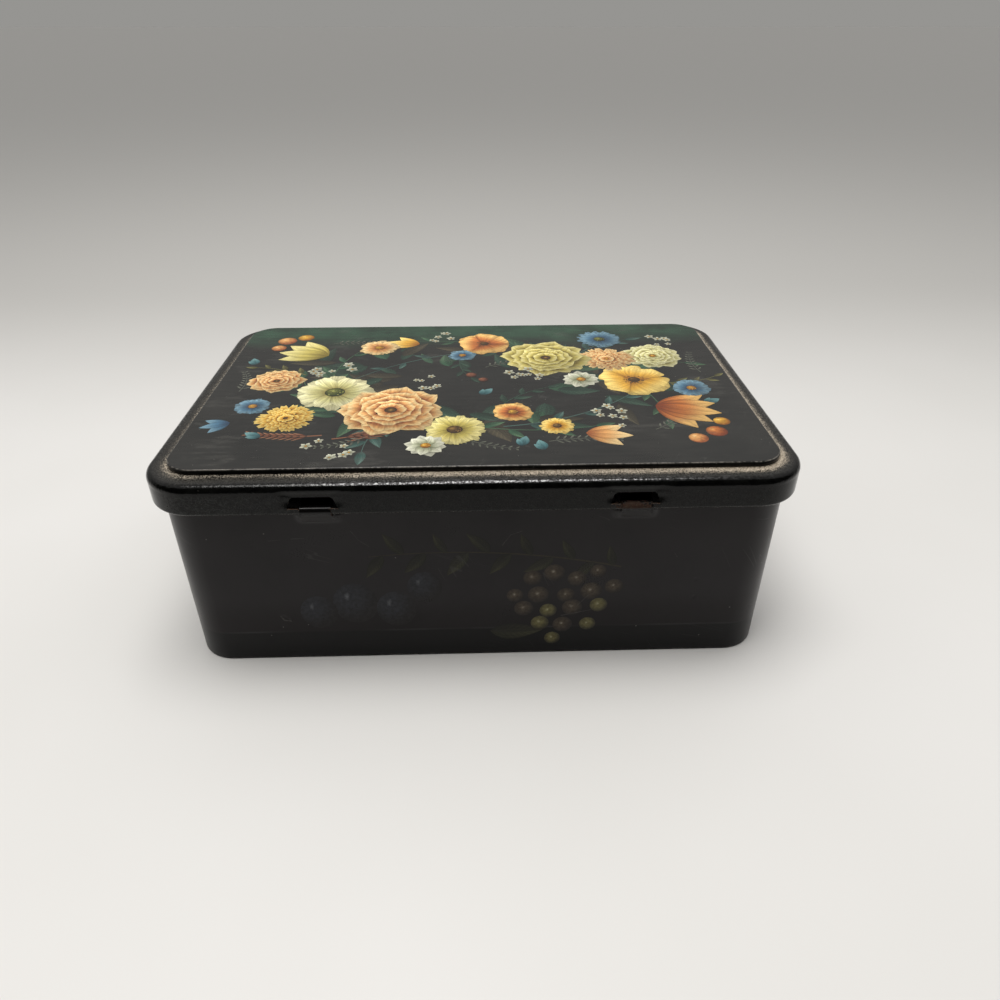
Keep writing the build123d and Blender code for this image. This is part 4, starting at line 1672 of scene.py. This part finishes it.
# %% [markdown]
# ## Table, light and camera
#
# The tin stands on a wide pale table. One large soft lamp hangs above it, and the room gives the rest:
# bright above and behind the tin, dim on the camera's side. Black gloss shows its surroundings more than
# its own colour, so that dim side is what keeps the skirt and the wall dark while the lid's top turns grey.
# The table's colour in reflections falls off on that side as well, as if it ended there.
#
# The camera is a wide lens held close on the hinges' side, about 30 degrees above the table's level, so the
# near edge of the lid looks clearly longer than the far one.

# %% Table
def table_finish():
    """Pale, with painted shade behind the tin. Reflections see it darker where a real table would end."""
    f = Finish("pale_table")
    spot, x, y, _ = f.place()
    pale = f.colour((0.74, 0.73, 0.71), (0.78, 0.77, 0.755), f.noise(spot, 260.0, 3.0).rises(0.3, 0.7))
    away = (x * x + y * y) ** 0.5
    # Behind the tin and far off the table is painted darker: painted shade that stands for a dimmer room.
    far = y.rises(-70.0, -420.0).most(away.rises(500.0, 2500.0))
    pale = f.colour(pale, (0.56, 0.55, 0.53), far)
    seen = f.node("ShaderNodeLightPath", out="Is Camera Ray")
    table_end = (1 - seen) * y.rises(190.0, 300.0)
    return f.surface(Base_Color=f.colour(pale, (0.05, 0.05, 0.05), table_end), Roughness=0.6)


half_wide = 30.0  # metres, so that no camera sees its end
table_mesh = bpy.data.meshes.new("table")
corners = [(half_wide * a, half_wide * b, 0) for a, b in ((-1, -1), (1, -1), (1, 1), (-1, 1))]
table_mesh.from_pydata(corners, [], [(0, 1, 2, 3)])
table_mesh.materials.append(table_finish())
table = stand("table", table_mesh)

# %% [markdown]
# The room is a smooth field of light round the tin. Reflections read it by direction: bright overhead,
# paler on the far side and nearly black on the camera's side. What the camera itself sees behind the table
# is one plain tone, so the backdrop stays quiet.

# %% The room
world = bpy.data.worlds.new("room")
bpy.context.scene.world = world
world.use_nodes = True
room = Finish("room", world.node_tree)
toward = room.node("ShaderNodeTexCoord", out="Generated")
side, height_in_room = (
    room.node("ShaderNodeSeparateXYZ", {}, {0: toward}, out=axis) for axis in ("Y", "Z")
)
overhead = (height_in_room - 0.95 * side.most(0.0)).rises(0.28, 0.62)
lit = room.colour((0.012, 0.012, 0.012), (0.42, 0.415, 0.40), side.rises(0.15, -0.35))
lit = room.colour(lit, (0.95, 0.94, 0.92), overhead)
seen = room.node("ShaderNodeLightPath", out="Is Camera Ray")
backdrop = room.colour(lit, (0.380, 0.374, 0.358), seen)
background = room.node("ShaderNodeBackground", {}, {"Color": backdrop, "Strength": 0.8})
room.output(background, "ShaderNodeOutputWorld")

# %% [markdown]
# The lamp hangs a metre above the lid, a little to one side, and is as large as a window pane, so its
# shadows and its mirror image have soft edges. It and the camera are turned the same way: each looks along
# a direction.

# %% Lamp and camera
def aim(thing, direction):
    """Turns a lamp or camera so that it looks along a direction."""
    thing.rotation_mode = "QUATERNION"
    thing.rotation_quaternion = Vector(direction).to_track_quat("-Z", "Y")


lamp_data = bpy.data.lights.new("soft_lamp", "AREA")
lamp_data.shape, lamp_data.size, lamp_data.size_y, lamp_data.energy = "RECTANGLE", 0.50, 0.75, 8.6
lamp_data.color = (1.0, 0.985, 0.96)
lamp = stand("soft_lamp", lamp_data)
lamp.location = (0.08, 0.06, 1.08)
aim(lamp, -lamp.location)

camera_data = bpy.data.cameras.new("phone")
camera_data.sensor_width, camera_data.lens = 36.0, 26.80
camera_data.clip_start = 0.01
camera = stand("phone", camera_data)
yaw, pitch = 0.0302, 0.573  # radians that it is turned to its right and down
camera.location = (-0.0013, 0.2861, 0.2097)
aim(camera, (-sin(yaw) * cos(pitch), -cos(yaw) * cos(pitch), -sin(pitch)))
bpy.context.scene.camera = camera
bpy.context.scene.view_settings.view_transform = "Standard"
print("camera", [round(v, 4) for v in camera.location], "looks", round(degrees(pitch), 1), "degrees down")
